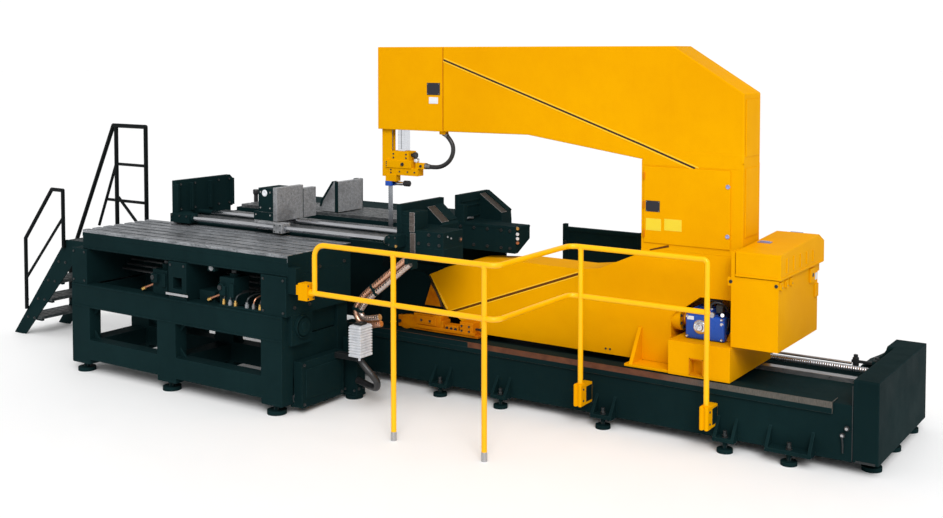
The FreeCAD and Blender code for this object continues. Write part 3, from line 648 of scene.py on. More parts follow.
# ---------------------------------------------------------------- band with teeth
bm = bmesh.new()
t = bmesh.new()
pts = []
z, pitch, x_tip, x_root, x_back = 560.0, 12.5, -3450.0, -3445.5, -3409.0
left = []
while z + pitch <= 2060.0:
    left += [(x_root, z), (x_tip, z + 1.5), (x_tip + 1.6, z + 4.5), (x_root, z + pitch - 3.0)]
    z += pitch
left.append((x_root, 2060.0))
for y0, y1 in ((199.0, 201.0),):
    va = [t.verts.new(W(x, y0, zz)) for x, zz in left]
    vb = [t.verts.new(W(x, y1, zz)) for x, zz in left]
    ra = [t.verts.new(W(x_back, y0, zz)) for _, zz in left]
    rb = [t.verts.new(W(x_back, y1, zz)) for _, zz in left]
    for i in range(len(left) - 1):
        t.faces.new((va[i], va[i + 1], ra[i + 1], ra[i]))
        t.faces.new((vb[i], rb[i], rb[i + 1], vb[i + 1]))
        t.faces.new((va[i], vb[i], vb[i + 1], va[i + 1]))
        t.faces.new((ra[i], ra[i + 1], rb[i + 1], rb[i]))
    t.faces.new((va[0], ra[0], rb[0], vb[0]))
    t.faces.new((va[-1], vb[-1], rb[-1], ra[-1]))
bmesh.ops.recalc_face_normals(t, faces=t.faces[:])
put(bm, t, 0)
o = done(bm, "toothed_band", [band_steel], "saw_frame", sharp=20.0)
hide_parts("band")

# ---------------------------------------------------------------- feed screw with thread
bm = bmesh.new()
t = bmesh.new()
L0, L1, SYC, SZC, P = -2990.0, -225.0, 712.0, 385.0, 14.0
seg, step = 20, 3.5
rings, x = [], L0
while x <= L1 + 0.01:
    ring = []
    for k in range(seg):
        th = 2 * math.pi * k / seg
        ph = ((x - L0) / P - k / seg) % 1.0
        r = 19.8 - 3.2 * max(0.0, 1.0 - abs(ph - 0.5) / 0.32)
        if x < L0 + 30 or x > L1 - 30:
            r = 16.5
        ring.append(t.verts.new(W(x, SYC + r * math.cos(th), SZC + r * math.sin(th))))
    rings.append(ring)
    x += step
for a, c in zip(rings, rings[1:]):
    for k in range(seg):
        t.faces.new((a[k - 1], a[k], c[k], c[k - 1]))
t.faces.new(rings[0][::-1])
t.faces.new(rings[-1])
bmesh.ops.recalc_face_normals(t, faces=t.faces[:])
put(bm, t, 0)
o = done(bm, "threaded_screw", [screw_steel], "base", sharp=60.0)
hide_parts("feed_screw")

# ---------------------------------------------------------------- stripes on the two arms
def stripe(bm, p, q, half, y0, y1, mi, b=0.4):
    d = Vector((q[0] - p[0], q[1] - p[1])).normalized()
    s = Vector((-d.y, d.x))
    h0, h1 = half if isinstance(half, tuple) else (half, half)
    pts = [(p[0] + s.x * h0, p[1] + s.y * h0), (q[0] + s.x * h1, q[1] + s.y * h1),
           (q[0] - s.x * h1, q[1] - s.y * h1), (p[0] - s.x * h0, p[1] - s.y * h0)]
    poly(bm, pts, "xz", y0, y1, b, 1, mi)


def offset(p, q, off):
    d = Vector((q[0] - p[0], q[1] - p[1])).normalized()
    s = Vector((-d.y, d.x)) * off
    return (p[0] + s.x, p[1] + s.y), (q[0] + s.x, q[1] + s.y)


bm = bmesh.new()
for a, c in (((-2936, 2222), (-1465, 1713)), ((-1465, 1713), (-1120, 1588))):
    stripe(bm, a, c, 6.5, 148.6, 150.5, 0)
for a, c in (((-2885, 515), (-1863, 893)),):
    stripe(bm, a, c, 8.0, 148.6, 150.5, 1)
stripe(bm, (-1408, 1078), (-1284, 1112), (4.0, 7.0), 148.6, 150.5, 1)
done(bm, "stripe_core", [stripe_dark, stripe_brown], "saw_frame")
# bright yellow borders either side of each stripe: painted highlights on the groove's edges
bm = bmesh.new()
for a, c in (((-2936, 2222), (-1465, 1713)), ((-1465, 1713), (-1100, 1581))):
    for off in (10.4, -10.4):
        p, q = offset(a, c, off)
        stripe(bm, p, q, 4.2, 147.8, 150.5, 0)
for off in (11.2, -11.2):
    p, q = offset((-2885, 515), (-1863, 893), off)
    stripe(bm, p, q, 3.4, 147.8, 150.5, 0)
done(bm, "stripe_highlight_edges", [stripe_highlight_yellow], "saw_frame")

# ---------------------------------------------------------------- head cover, plates and fixings
bm = bmesh.new()
bx(bm, -3074, -2966, 147.2, 150.4, 1984, 2066, 1.2)
for x in (-3066, -2974):
    for z in (1992, 2058):
        cap(bm, (x, 147.4, z), NY, 3.2, 1.6, mi=1)
done(bm, "head_blank_plate", [plate_black, zinc], "saw_frame")
bm = bmesh.new()
bx(bm, -3057, -2982, 147.6, 150.4, 1925, 1969, 1.0)
done(bm, "head_small_plate", [plate_white], "saw_frame")
# raised seam band between the head cover and the arm
bm = bmesh.new()
bx(bm, -2947, -2941, 149.4, 151.0, 1742, 2306, 0.3, 1)
done(bm, "head_seam", [orange_shade_tone], "saw_frame")

# covers on the back of the frame
bm = bmesh.new()
poly(bm, [(-3470, 1765), (-3470, 2280), (-2610, 2280), (-2480, 2200), (-2480, 1790), (-2600, 1765)], "xz", 415, 428, 4)
poly(bm, [(-2420, 1800), (-2420, 2270), (-1290, 2270), (-880, 2010), (-880, 1660), (-1440, 1660), (-2260, 1776)], "xz",
     415, 424, 4)
bx(bm, -1436, -852, 415, 424, 1140, 1600, 4)
for x0, x1 in ((-2560, -2120), (-2080, -1640)):
    bx(bm, x0, x1, 415, 424, 470, 860, 4)
for i in range(9):
    bx(bm, -3250 + i * 62, -3250 + i * 62 + 26, 427, 431, 1980, 2120, 1.2)
for i in range(7):
    bx(bm, -1330 + i * 62, -1330 + i * 62 + 26, 423.5, 427, 1300, 1440, 1.2)
done(bm, "rear_covers", [orange], "saw_frame")
bm = bmesh.new()
for x, z in ((-3455, 1782), (-3455, 2262), (-2630, 2262), (-2500, 1812), (-3050, 1782), (-3050, 2262)):
    cy(bm, (x, 428, z), PY, 14, 6, b=2)
    cy(bm, (x, 434, z), PY, 20, 14, seg=8, b=3)
for x, z in ((-2400, 1815), (-2400, 2255), (-1850, 2255), (-1850, 1735), (-1305, 2255), (-1000, 2060), (-895, 1990),
             (-895, 1675), (-1425, 1675)):
    bolt(bm, (x, 424, z), PY, 16)
for x, z in ((-1420, 1156), (-1420, 1584), (-868, 1156), (-868, 1584), (-1144, 1156), (-1144, 1584)):
    bolt(bm, (x, 424, z), PY, 16)
for x0, x1 in ((-2560, -2120), (-2080, -1640)):
    for x in (x0 + 18, x1 - 18):
        for z in (488, 842):
            bolt(bm, (x, 424, z), PY, 16)
done(bm, "rear_cover_fixings", [zinc], "saw_frame")

# side face of the column and arm
bm = bmesh.new()
bx(bm, -822, -816, 178, 388, 1200, 1600, 2.5)
bx(bm, -822, -816, 178, 388, 1668, 2000, 2.5)
done(bm, "column_side_panels", [orange], "saw_frame")
# smooth skin over the column top, so that no joint line shows between column and arm
bm = bmesh.new()
bx(bm, -1458, -830, 148.8, 150.6, 1594, 1680, 0.6, 1)
bx(bm, -822.6, -821.0, 158, 407, 1594, 1680, 0.6, 1)
done(bm, "column_seam_cover", [orange], "saw_frame")

# ---------------------------------------------------------------- column door fittings
bm = bmesh.new()
for z in (1492, 1201):
    lathe(bm, (-912, 142, z), NY, [(13.5, -0.5), (13.5, 2.5), (12.0, 4.5), (7.0, 5.0), (6.0, 4.0), (0, 4.0)], 28)
done(bm, "door_locks", [lock_blue], "door")
bm = bmesh.new()
bx(bm, -1433, -1341, 139.4, 142.3, 1313, 1379, 1.0)
for x in (-1427, -1347):
    for z in (1319, 1373):
        cap(bm, (x, 139.6, z), NY, 2.6, 1.4, mi=1)
done(bm, "door_blank_plate", [plate_black, zinc], "door")
bm = bmesh.new()
bx(bm, -1432, -1332, 140.3, 142.3, 1199, 1272, 1.0)
bx(bm, -1311, -1199, 140.3, 142.3, 1206, 1276, 1.0)
done(bm, "door_blank_labels", [plate_lime], "door")
bm = bmesh.new()
for z in (1180, 1355, 1530):
    cy(bm, (-1445, 142, z - 21.5), PZ, 7.2, 43, seg=20, b=1.0)
    cy(bm, (-1445, 142, z - 26), PZ, 4.0, 52, seg=12, b=0.8)
done(bm, "door_hinges", [orange_shade_tone], "door")
bm = bmesh.new()
# folded edge behind the door skin
for z0, z1 in ((1130, 1136), (1574, 1580)):
    bx(bm, -1412, -934, 148.5, 162, z0 + (24 if z0 < 1200 else -20), z1 + (24 if z0 < 1200 else -20), 1.0)
for x0 in (-1412, -940):
    bx(bm, x0, x0 + 6, 148.5, 162, 1160, 1556, 1.0)
done(bm, "door_folds", [orange], "door")
# equipment in the column recess
bm = bmesh.new()
bx(bm, -1405, -940, 258, 264.5, 1165, 1548, 2, mi=0)
for z in (1230, 1350, 1470):
    bx(bm, -1395, -950, 250, 258, z - 17, z + 17, 1, mi=0)
for i in range(7):
    bx(bm, -1385 + i * 58, -1385 + i * 58 + 44, 196, 252, 1425, 1515, 3, mi=1)
    bx(bm, -1385 + i * 58 + 8, -1385 + i * 58 + 36, 190, 197, 1452, 1488, 1.5, mi=2)
for i in range(5):
    bx(bm, -1380 + i * 78, -1380 + i * 78 + 62, 186, 252, 1300, 1400, 3, mi=2)
    bx(bm, -1380 + i * 78 + 14, -1380 + i * 78 + 48, 182, 187, 1330, 1372, 1.5, mi=1)
for i in range(16):
    bx(bm, -1388 + i * 26, -1388 + i * 26 + 20, 214, 252, 1200, 1262, 1.5, mi=3)
done(bm, "recess_equipment", [zinc, black_plastic, grey_plastic, white_plastic], "saw_frame")

# ---------------------------------------------------------------- lower arm, mechanism, saddle
bm = bmesh.new()
for x in (-1703, -1673, -1640, -1420, -1360, -1300):
    if x in (-1703, -1673):
        cap(bm, (x, 150.2, 434), NY, 6.5, 5.0, mi=0)
done(bm, "arm_small_bolts", [dark_bolt], "saw_frame")
bm = bmesh.new()
# edge flange along the arm's nose, in bright yellow as a painted highlight on the edge; plate seam lines
poly(bm, [(-3046, 760), (-2900, 536), (-2914, 532), (-3058, 750)], "xz", 147.5, 150.4, 0.8, 1)
done(bm, "nose_edge_highlight", [stripe_highlight_yellow], "saw_frame")
bm = bmesh.new()
poly(bm, [(-3062, 748), (-2934, 530), (-2916, 530), (-3047, 754)], "xz", 146.8, 148.4, 0.5, 1)
done(bm, "nose_shadow_gap", [stripe_dark], "saw_frame")
bm = bmesh.new()
# guide bracket: slotted block, clamp arms, adjusting screws and a rounded link at the left
bx(bm, -3110, -2620, 52, 60, 404, 424, 2, mi=0)
bx(bm, -3090, -2930, 50, 60, 432, 492, 4, mi=0)
bx(bm, -3060, -2960, 44, 52, 446, 478, 3, mi=0)
bx(bm, -2905, -2880, 60, 150, 404, 470, 3, mi=0)
bx(bm, -2870, -2760, 66, 140, 404, 448, 4, mi=0)
bx(bm, -2745, -2640, 60, 148, 404, 486, 5, mi=0)
bx(bm, -2735, -2650, 54, 60, 416, 474, 2, mi=0)
for x in (-2850, -2815, -2780):
    bolt(bm, (x, 66, 428), NY, 15, mi=1)
for x, z in ((-2722, 430), (-2663, 430), (-2722, 462), (-2663, 462)):
    cap(bm, (x, 54, z), NY, 7, 6, mi=1)
for x, z in ((-3045, 462), (-2975, 462)):
    cap(bm, (x, 44, z), NY, 8, 7, mi=1)
cy(bm, (-2952, 90, 520), NX, 9, 120, mi=1)
cy(bm, (-2640, 100, 440), PX, 8, 46, mi=1)
bolt(bm, (-2600, 100, 440), PX, 18, mi=1)
arc = [Vector((-3190 + 52 * math.cos(a), 74, 430 + 40 * math.sin(a))) for a in
       [math.radians(60 + i * 12) for i in range(21)]]
sweep(bm, arc, 0, seg=12, mi=0, flat=(14.0, 9.0, (0, 1, 0)))
bx(bm, -3178, -3110, 62, 88, 456, 482, 4, mi=0)
bx(bm, -3178, -3110, 62, 88, 388, 404, 4, mi=0)
cy(bm, (-3240, 60, 430), NY, 12, 8, mi=1)
done(bm, "guide_mechanism", [orange_shade_tone, dark_bolt], "saw_frame")
# curved lip round the triangular plate
bm = bmesh.new()
lip = [Vector((-3034, 138, 702)), Vector((-2995, 138, 655)), Vector((-2962, 138, 600)), Vector((-2945, 138, 546))]
sweep(bm, curve_points(lip, 6), 7.0, 10, mi=0)
done(bm, "plate_lip", [stripe_dark], "saw_frame")

# saddle: framed recess
bm = bmesh.new()
for x0, x1, z0, z1 in ((-1084, -1078, 396, 496), (-1002, -996, 396, 496), (-1084, -996, 396, 402), (-1084, -996, 490, 496)):
    bx(bm, x0, x1, -2.5, 1.0, z0, z1, 0.8, 1)
done(bm, "saddle_recess_frame", [orange_shade_tone], "saw_frame")
# ---------------------------------------------------------------- drive seen through the opening
bm = bmesh.new()
bx(bm, -1150, -908, 97, 145, 588, 732, 9, 3, mi=0)
bx(bm, -1148, -962, 140, 330, 589, 738, 9, 3, mi=0)
bx(bm, -1140, -918, 95, 99, 598, 722, 2, mi=0)
for i in range(5):
    bx(bm, -1118 + i * 28, -1118 + i * 28 + 9, 120, 300, 736, 764, 2, mi=0)
bx(bm, -1120, -985, 122, 298, 735, 745, 3, mi=0)
lathe(bm, (-962, 200, 665), PX, [(54, 0), (54, 8), (42, 10), (42, 18), (50, 20), (50, 26), (42, 28), (42, 36), (50, 38),
                                 (50, 44), (42, 46), (0, 46)], 32, mi=0)
for x, z in ((-1136, 604), (-1136, 722), (-922, 604), (-922, 722)):
    cap(bm, (x, 95.2, z), NY, 7.5, 6.5, mi=1)
bx(bm, -1138, -1096, 94, 96.5, 700, 722, 1.0, mi=2)
o = done(bm, "gearbox_body", [blue_paint, steel, plate_white], "saw_frame")
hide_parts("drive_gearbox")
bm = bmesh.new()
lathe(bm, (-1055, 95, 664), NY, [(42, 0), (42, 4), (38, 6), (34, 7), (34, 10), (24, 12), (22, 20), (19, 23), (9, 24.5),
                                 (7, 22), (0, 22)], 36)
for i in range(6):
    a = math.radians(60 * i + 30)
    cap(bm, (-1055 + 34 * math.cos(a), 91.5, 664 + 34 * math.sin(a)), NY, 4.2, 4.0)
o = done(bm, "hub", [chrome], "saw_frame")
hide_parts("drive_hub")
bm = bmesh.new()
for pts, r, mi in (([(-1010, 150, 765), (-1008, 148, 790), (-985, 150, 806), (-950, 160, 800), (-930, 175, 780), (-920, 190, 750)], 8, 0),
                   ([(-1040, 170, 765), (-1040, 168, 795), (-1010, 172, 815), (-950, 178, 815)], 7, 0),
                   ([(-940, 150, 640), (-915, 150, 655), (-905, 152, 690), (-908, 155, 720)], 7, 0)):
    sweep(bm, curve_points(pts, 6), r, 12, mi)
for p, n in (((-1010, 150, 748), PZ), ((-1040, 170, 748), PZ)):
    cy(bm, p, n, 13, 22, seg=6, b=1, mi=1)
cy(bm, (-985, 115, 742), NY, 16, 20, mi=1)
cy(bm, (-930, 120, 735), (0.4, -1, 0.5), 11, 34, mi=1)
cy(bm, (-935, 120, 700), (0.5, -1, -0.3), 10, 30, mi=2)
bx(bm, -965, -925, 110, 150, 755, 800, 5, mi=3)
done(bm, "drive_fittings", [black_plastic, steel, white_plastic, dark_bolt], "saw_frame")
bm = bmesh.new()
for i in range(8):
    a = math.radians(45 * i + 22)
    bolt(bm, (-1210, 225 + 60 * math.cos(a), 675 + 60 * math.sin(a)), PX, 13)
for i in range(3):
    cy(bm, (-1205 + i * 15, 225, 675), PX, 46 - i * 2, 6, seg=36, b=1.5, mi=1)
done(bm, "drive_flange_bolts", [dark_bolt, flange_red], "saw_frame")
# turned edge round the opening
bm = bmesh.new()
open_pts = [(-1267, 560), (-1268, 685), (-1232, 728), (-1184, 753), (-1081, 830), (-906, 832), (-880, 832)]
sweep(bm, [Vector((x, 149.5, z)) for x, z in open_pts[:1] + open_pts[1:]], 4.0, 8, mi=0)
done(bm, "opening_edge", [orange], "saw_frame")

# ---------------------------------------------------------------- rear cabinet and lid
bm = bmesh.new()
for i, (y0, z0) in enumerate(((120, 1098), (235, 1098), (350, 1095), (465, 1090), (580, 1083))):
    bx(bm, -553, -547.0, y0, y0 + 16, 1030, z0 + 14, 1.5, mi=0)
    bx(bm, -552.6, -550.2, y0 + 16, y0 + 27, 1033, z0 + 11, 0.6, 1, mi=1)
done(bm, "lid_ribs", [orange, louver_dark], "lid")
bm = bmesh.new()
for cx, cyy in ((-755, 330), (-700, 720)):
    bx(bm, cx - 40, cx + 40, cyy - 20, cyy + 20, 1150 if cyy < 500 else 1160, 1163 if cyy < 500 else 1174, 2.5, mi=0)
    bx(bm, cx - 28, cx + 28, cyy - 10, cyy + 10, 1162 if cyy < 500 else 1172, 1167 if cyy < 500 else 1175.5, 2, mi=0)
done(bm, "lid_handles", [lock_blue], "lid")
bm = bmesh.new()
# lid rim and latches
bx(bm, -816, -548, 21.5, 27, 1000, 1012, 1.5, mi=0)
bx(bm, -553, -548, 25, 780, 1000, 1012, 1.5, mi=0)
bx(bm, -817, -814, 25, 780, 1000, 1012, 1.0, mi=0)
done(bm, "lid_rim", [orange], "lid")
bm = bmesh.new()
for x in (-842, -575):
    lathe(bm, (x - 3, 27, 966), NY, [(10, -3), (10, 1), (7, 3), (0, 3)], 20, mi=1)
bx(bm, -865, -843, 32, 60, 940, 990, 3, mi=0)
bx(bm, -868, -846, 34, 58, 962, 985, 3, mi=0)
for y0 in (40, 130, 210):
    bx(bm, -566, -558, y0, y0 + 46, 944, 986, 3, mi=0)
    bx(bm, -558, -553, y0 + 10, y0 + 36, 938, 972, 2.5, mi=0)
    cy(bm, (-558, y0 + 23, 955), PX, 6, 5, mi=1)
bx(bm, -566, -554, 560, 640, 900, 985, 3, mi=0)
bx(bm, -566, -556, 655, 715, 800, 880, 3, mi=0)
cy(bm, (-556, 600, 945), PX, 12, 5, mi=1)
bx(bm, -566, -560, 655, 700, 905, 945, 2, mi=2)
done(bm, "cabinet_latches", [orange, dark_bolt, white_plastic], "saw_frame")
bm = bmesh.new()
for x0, x1 in ((-790, -740), (-630, -580)):
    cy(bm, (x0 + 1, 800, 1000), PX, 9.6, x1 - x0 - 2, seg=24, b=1.5, mi=0)
    cy(bm, (x0 - 3, 800, 1000), PX, 4.5, x1 - x0 + 6, seg=16, b=1.0, mi=0)
done(bm, "lid_hinges", [zinc, orange], "saw_frame")
# cabinet contents, seen with the lid up
bm = bmesh.new()
bx(bm, -820, -590, 60, 300, 606, 640, 4, mi=0)
cy(bm, (-705, 80, 760), PY, 85, 220, seg=40, b=6, mi=1)
for i in range(18):
    a = 2 * math.pi * i / 18
    bx(bm, -705 + 88 * math.cos(a) - 3, -705 + 88 * math.cos(a) + 3, 100, 285, 760 + 88 * math.sin(a) - 3,
       760 + 88 * math.sin(a) + 3, 1, 1, mi=1)
cy(bm, (-705, 300, 760), PY, 60, 50, seg=32, b=5, mi=0)
bx(bm, -780, -630, 380, 640, 607, 860, 10, mi=0)
cy(bm, (-740, 440, 860), PZ, 22, 46, mi=2)
cy(bm, (-670, 540, 860), PZ, 26, 30, mi=3)
sweep(bm, curve_points([(-740, 440, 900), (-740, 420, 940), (-735, 350, 950), (-720, 300, 900), (-710, 250, 850)], 8), 11, 12, 3)
done(bm, "cabinet_contents", [dark_paint, blue_paint, brass, black_plastic], "saw_frame")

# ---------------------------------------------------------------- upper guide
bm = bmesh.new()
for z in (1482, 1496, 1508):
    cap(bm, (-3440, 168.2, z), NY, 4, 4, mi=0)
for x, z in ((-3380, 1540), (-3380, 1566), (-3270, 1540), (-3270, 1566)):
    cap(bm, (x, 172.2, z), NY, 6, 6, mi=0)
for x, z in ((-3405, 1434), (-3405, 1454), (-3330, 1444), (-3260, 1444), (-3200, 1444)):
    cap(bm, (x, 175.2, z), NY, 5.5, 5.5, mi=0)
bolt(bm, (-3300, 168, 1496), NY, 18, mi=0)
bolt(bm, (-3150, 178, 1490), NY, 14, mi=0)
cy(bm, (-3250, 210, 1560), PX, 12, 24, mi=0)
lathe(bm, (-3226, 205, 1560), PX, [(0, 0), (18, 0), (22, 3), (22, 20), (18, 24), (0, 24)], 24, mi=1)
bx(bm, -3350, -3290, 182.5, 185.2, 1600, 1735, 0.6, 1, mi=2)
bx(bm, -3322, -3318, 181.6, 185.2, 1600, 1735, 0.5, 1, mi=3)
done(bm, "guide_fixings", [dark_bolt, black_plastic, chrome, dark_bolt], "guide")
bm = bmesh.new()
lathe(bm, (-3399, 217, 1355), PX, [(14, 0), (14, 60), (12, 62), (12, 78)], 24, mi=0)
lathe(bm, (-3321, 217, 1358), PX, [(12, 0), (19, 2), (20, 6), (20, 44), (18, 48), (10, 50), (0, 50)], 24, mi=1)
for i in range(12):
    a = 2 * math.pi * i / 12
    bx(bm, -3318, -3274, 217 + 19.2 * math.cos(a) - 1.4, 217 + 19.2 * math.cos(a) + 1.4,
       1358 + 19.2 * math.sin(a) - 1.4, 1358 + 19.2 * math.sin(a) + 1.4, 0.5, 1, mi=1)
lathe(bm, (-3200, 200, 1510), PZ, [(10, 0), (10, 4), (20, 5), (22, 8), (22, 24), (19, 28), (12, 30), (0, 30)], 28, mi=2)
o = done(bm, "guide_handles", [chrome, black_plastic, chrome], "guide")
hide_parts("guide_knobs")

# ---------------------------------------------------------------- bed details
bm = bmesh.new()
FEET = [(-2900, -2760), (-2412, -2300), (-1690, -1550), (-905, -780), (-600, -340)]
for a, c in FEET:
    xc = 0.5 * (a + c)
    bolt(bm, (xc, -42, 85), PZ, 26, mi=0)
    cy(bm, (xc, -42, 90), PZ, 12, 34, mi=0)
    bolt(bm, (xc, -42, 26), PZ, 26, mi=0, washer=False)
for a, c in FEET[:-1]:
    xc = 0.5 * (a + c)
    bolt(bm, (xc, 872, 85), PZ, 26, mi=0)
    cy(bm, (xc, 872, 90), PZ, 12, 34, mi=0)
for x in (-3060 + 20, -2990 - 20):
    for y in (694, 748):
        cap(bm, (x, y, 430), PZ, 8, 8, mi=0)
for x in (-205, -157):
    for y in (694, 748):
        cap(bm, (x, y, 450), PZ, 8, 8, mi=0)
done(bm, "bed_bolts", [dark_bolt], "base")
# dark sheets: one over the way's top, painted shade under the arm; one along the dark lower half of its face; one over
# the upper face at the left end, painted shade under the saddle
bm = bmesh.new()
bx(bm, -3695, -248, -6, 90, 378.6, 380.4, 0.5, 1)
bx(bm, -3698, -246, -15.0, -13.4, 315, 345, 0.5, 1)
bx(bm, -3698, -2630, -15.0, -13.4, 345.5, 379, 0.5, 1)
done(bm, "way_painted_shade_sheets", [dark_paint], "base")
bm = bmesh.new()
# small fittings and pipe by the end block joint, brackets on the back wall
cy(bm, (-165, 0, 247), NY, 14, 16, mi=0)
cy(bm, (-189, 0, 205), NY, 14, 14, mi=0)
cy(bm, (-165, -14, 247), NY, 9, 8, seg=6, mi=1)
cy(bm, (-189, -12, 205), NY, 9, 8, seg=6, mi=1)
sweep(bm, curve_points([(-189, -12, 205), (-188, -18, 190), (-186, -14, 160), (-186, -10, 110)], 6), 5, 10, 0)
for x in (-372, -250):
    bx(bm, x, x + 34, 800, 826, 374, 432, 4, mi=0)
    cy(bm, (x + 17, 813, 430), PZ, 13, 18, mi=0)
bx(bm, -380, -200, 806, 820, 398, 416, 3, mi=0)
for x in (-2700, -2100, -1500, -900):
    bx(bm, x, x + 26, 803, 824, 374, 392, 3, mi=0)
sweep(bm, [Vector((-3000, 813, 392)), Vector((-1500, 813, 392)), Vector((-380, 813, 392))], 8, 12, 1)
done(bm, "bed_small_fittings", [dark_bolt, steel], "base")
bm = bmesh.new()
# machined joint line and edge strips on the end block
bx(bm, -141, -137.2, -1.5, 1.5, 70, 480, 0.8, 1)
bx(bm, -120, -16, -2, 1, 66, 78, 1.0)
for y in (60, 320, 700, 990):
    for z in (110, 470):
        bolt(bm, (-6, y, z), PX, 1.0) if False else None
done(bm, "end_block_lines", [dark_bolt], "base")

# ---------------------------------------------------------------- stand and table
bm = bmesh.new()
LEGS = [(-5400, -5210), (-4510, -4330), (-3550, -3370)]
for a, c in LEGS:
    for y in (-930, -400):
        xc = 0.5 * (a + c)
        bolt(bm, (xc, y, 26), PZ, 40, mi=0, washer=False)
for a, c in ((-5400, -5240), (-4395, -4225), (-3550, -3337)):
    for x in (a + 22, c - 22):
        cap(bm, (x, -975.2, 655), NY, 8, 5, mi=0)
        cap(bm, (x, -975.2, 858), NY, 8, 5, mi=0)
for y in (-900, -660, -420):
    bolt(bm, (-3337, y, 905), PX, 16, mi=0)
done(bm, "stand_bolts", [dark_bolt], "base")
bm = bmesh.new()
bx(bm, -4412, -4200, -985, -979.5, 656, 672, 1.5)
done(bm, "bright_bar", [steel], "base")
bm = bmesh.new()
for a, c in LEGS:   # foot plates and gussets of the legs
    for y0, y1 in ((-985, -876), (-454, -346)):
        bx(bm, a + 8, c - 8, y0 + 3, y1 - 3, 60, 74, 3)
for a, c in ((LEGS[0][1], LEGS[1][0]), (LEGS[1][1], LEGS[2][0])):
    for s, x in ((1, a), (-1, c)):
        for zz, up in ((465, -1), (235, 1)):
            poly(bm, [(x, zz), (x + s * 60, zz), (x, zz + up * 60)], "xz", -936, -924, 2)
            poly(bm, [(x, zz), (x + s * 60, zz), (x, zz + up * 60)], "xz", -406, -394, 2)
bx(bm, -5396, -3374, -984, -979, 616, 626, 2)
bx(bm, -5396, -3374, -984, -979, 468, 478, 2)
bx(bm, -5294, -3339, -964, -959, 884, 894, 2)
bx(bm, -5295, -3338, -962.5, -959, 966, 996, 0.8, 1)
bx(bm, -3338.5, -3335.5, -958, -352, 884, 1012, 0.8, 1)
done(bm, "stand_gussets", [dark_paint], "base")
bm = bmesh.new()
# hydraulic valves under the table
for x0, z0 in ((-4600, 630), (-3960, 630)):
    cy(bm, (x0 + 70, -860, z0 + 170), PZ, 34, 36, mi=0)
    cy(bm, (x0 + 70, -860, z0 + 205), PZ, 22, 20, mi=2)
    cy(bm, (x0, -880, z0 + 70), (-0.8, -0.3, -0.35), 9, 130, mi=3)
    cy(bm, (x0 - 92, -914, z0 + 28), (-0.8, -0.3, -0.35), 13, 26, seg=6, mi=1)
    cy(bm, (x0 + 30, -930, z0 + 120), NY, 26, 24, mi=0)
    cy(bm, (x0 + 30, -954, z0 + 120), NY, 16, 10, mi=2)
    bx(bm, x0 + 100, x0 + 136, -944, -926, z0 + 60, z0 + 150, 3, mi=0)
for x, mi in ((-3905, 1), (-3850, 4), (-3800, 1), (-3700, 4), (-3640, 5), (-3585, 1)):
    cy(bm, (x, -945, 640), PZ, 13, 26, seg=6, b=1.5, mi=mi)
    cy(bm, (x, -945, 666), PZ, 8, 12, mi=mi)
    sweep(bm, curve_points([(x, -945, 676), (x + 3, -930, 705), (x + 12, -880, 720), (x + 20, -800, 715), (x + 24, -700, 700)], 6), 5.5, 10, 3 if mi == 5 else 2)
bx(bm, -3930, -3560, -968, -922, 630, 642, 3, mi=0)
lathe(bm, (-4027, -940, 866), NY, [(20, -14), (20, 0), (17, 4), (0, 5)], 24, mi=4)
bx(bm, -4060, -3995, -940, -900, 845, 879, 3, mi=0)
for y, z in ((-700, 712), (-660, 740), (-620, 768)):
    sweep(bm, [Vector((-5180, y, z)), Vector((-4800, y, z)), Vector((-4420, y, z))], 9, 10, 2)
    sweep(bm, [Vector((-4200, y, z)), Vector((-3900, y, z)), Vector((-3540, y, z))], 9, 10, 2)
bx(bm, -5230, -3540, -470, -458, 640, 876, 3, mi=0)
done(bm, "table_hydraulics", [dark_paint, brass, dark_bolt, copper, grey_plastic, zinc], "base")
bm = bmesh.new()
lathe(bm, (-3336, -830, 550), PX, [(70, 0), (70, 16), (64, 22), (58, 22), (56, 15), (34, 15), (32, 26), (24, 29), (0, 29)], 40, mi=0)
for i in range(6):
    a = math.radians(60 * i)
    cap(bm, (-3321, -830 + 45 * math.cos(a), 550 + 45 * math.sin(a)), PX, 6, 5, mi=1)
for y in (-900, -760):
    bolt(bm, (-3336, y, 680), PX, 16, mi=1)
for y in (-850, -490):
    for z in (60, 310):
        bolt(bm, (-3302, y, z), PX, 14, mi=1)
bx(bm, -3304, -3296, -835, -505, 90, 280, 4, mi=0)
done(bm, "side_boss", [dark_paint, dark_bolt], "base")

# canister, ribbed
bm = bmesh.new()
CX0, CX1, CY0, CY1, CZ0, CZ1 = -3153, -3053, -600, -474, 334, 536
bx(bm, CX0 + 4, CX1 - 4, CY0 + 4, CY1 - 4, CZ0 + 2, CZ1 - 1, 6, 3, mi=0)
for i in range(11):
    z = CZ0 + 6 + i * 17.6
    bx(bm, CX0, CX1, CY0, CY1, z, z + 10.0, 4.0, 3, mi=0)
bx(bm, CX0 + 1, CX1 - 1, CY0 + 1, CY1 - 1, CZ0, CZ0 + 9, 3, mi=0)
bx(bm, CX0 + 20, CX1 - 20, CY0 + 30, CY1 - 30, CZ1 - 4, CZ1 + 13, 5, mi=1)
bx(bm, -3302, CX0 + 40, -560, -510, 297, CZ0 - 0.5, 3, mi=1)
lathe(bm, (CX1 - 40, CY0 + 40, CZ0 - 26), PZ, [(0, 0), (9, 0), (9, 26), (0, 26)], 20, mi=2)
o = done(bm, "ribbed_canister", [white_plastic, dark_bolt, plate_white], "base")
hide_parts("filter_canister")

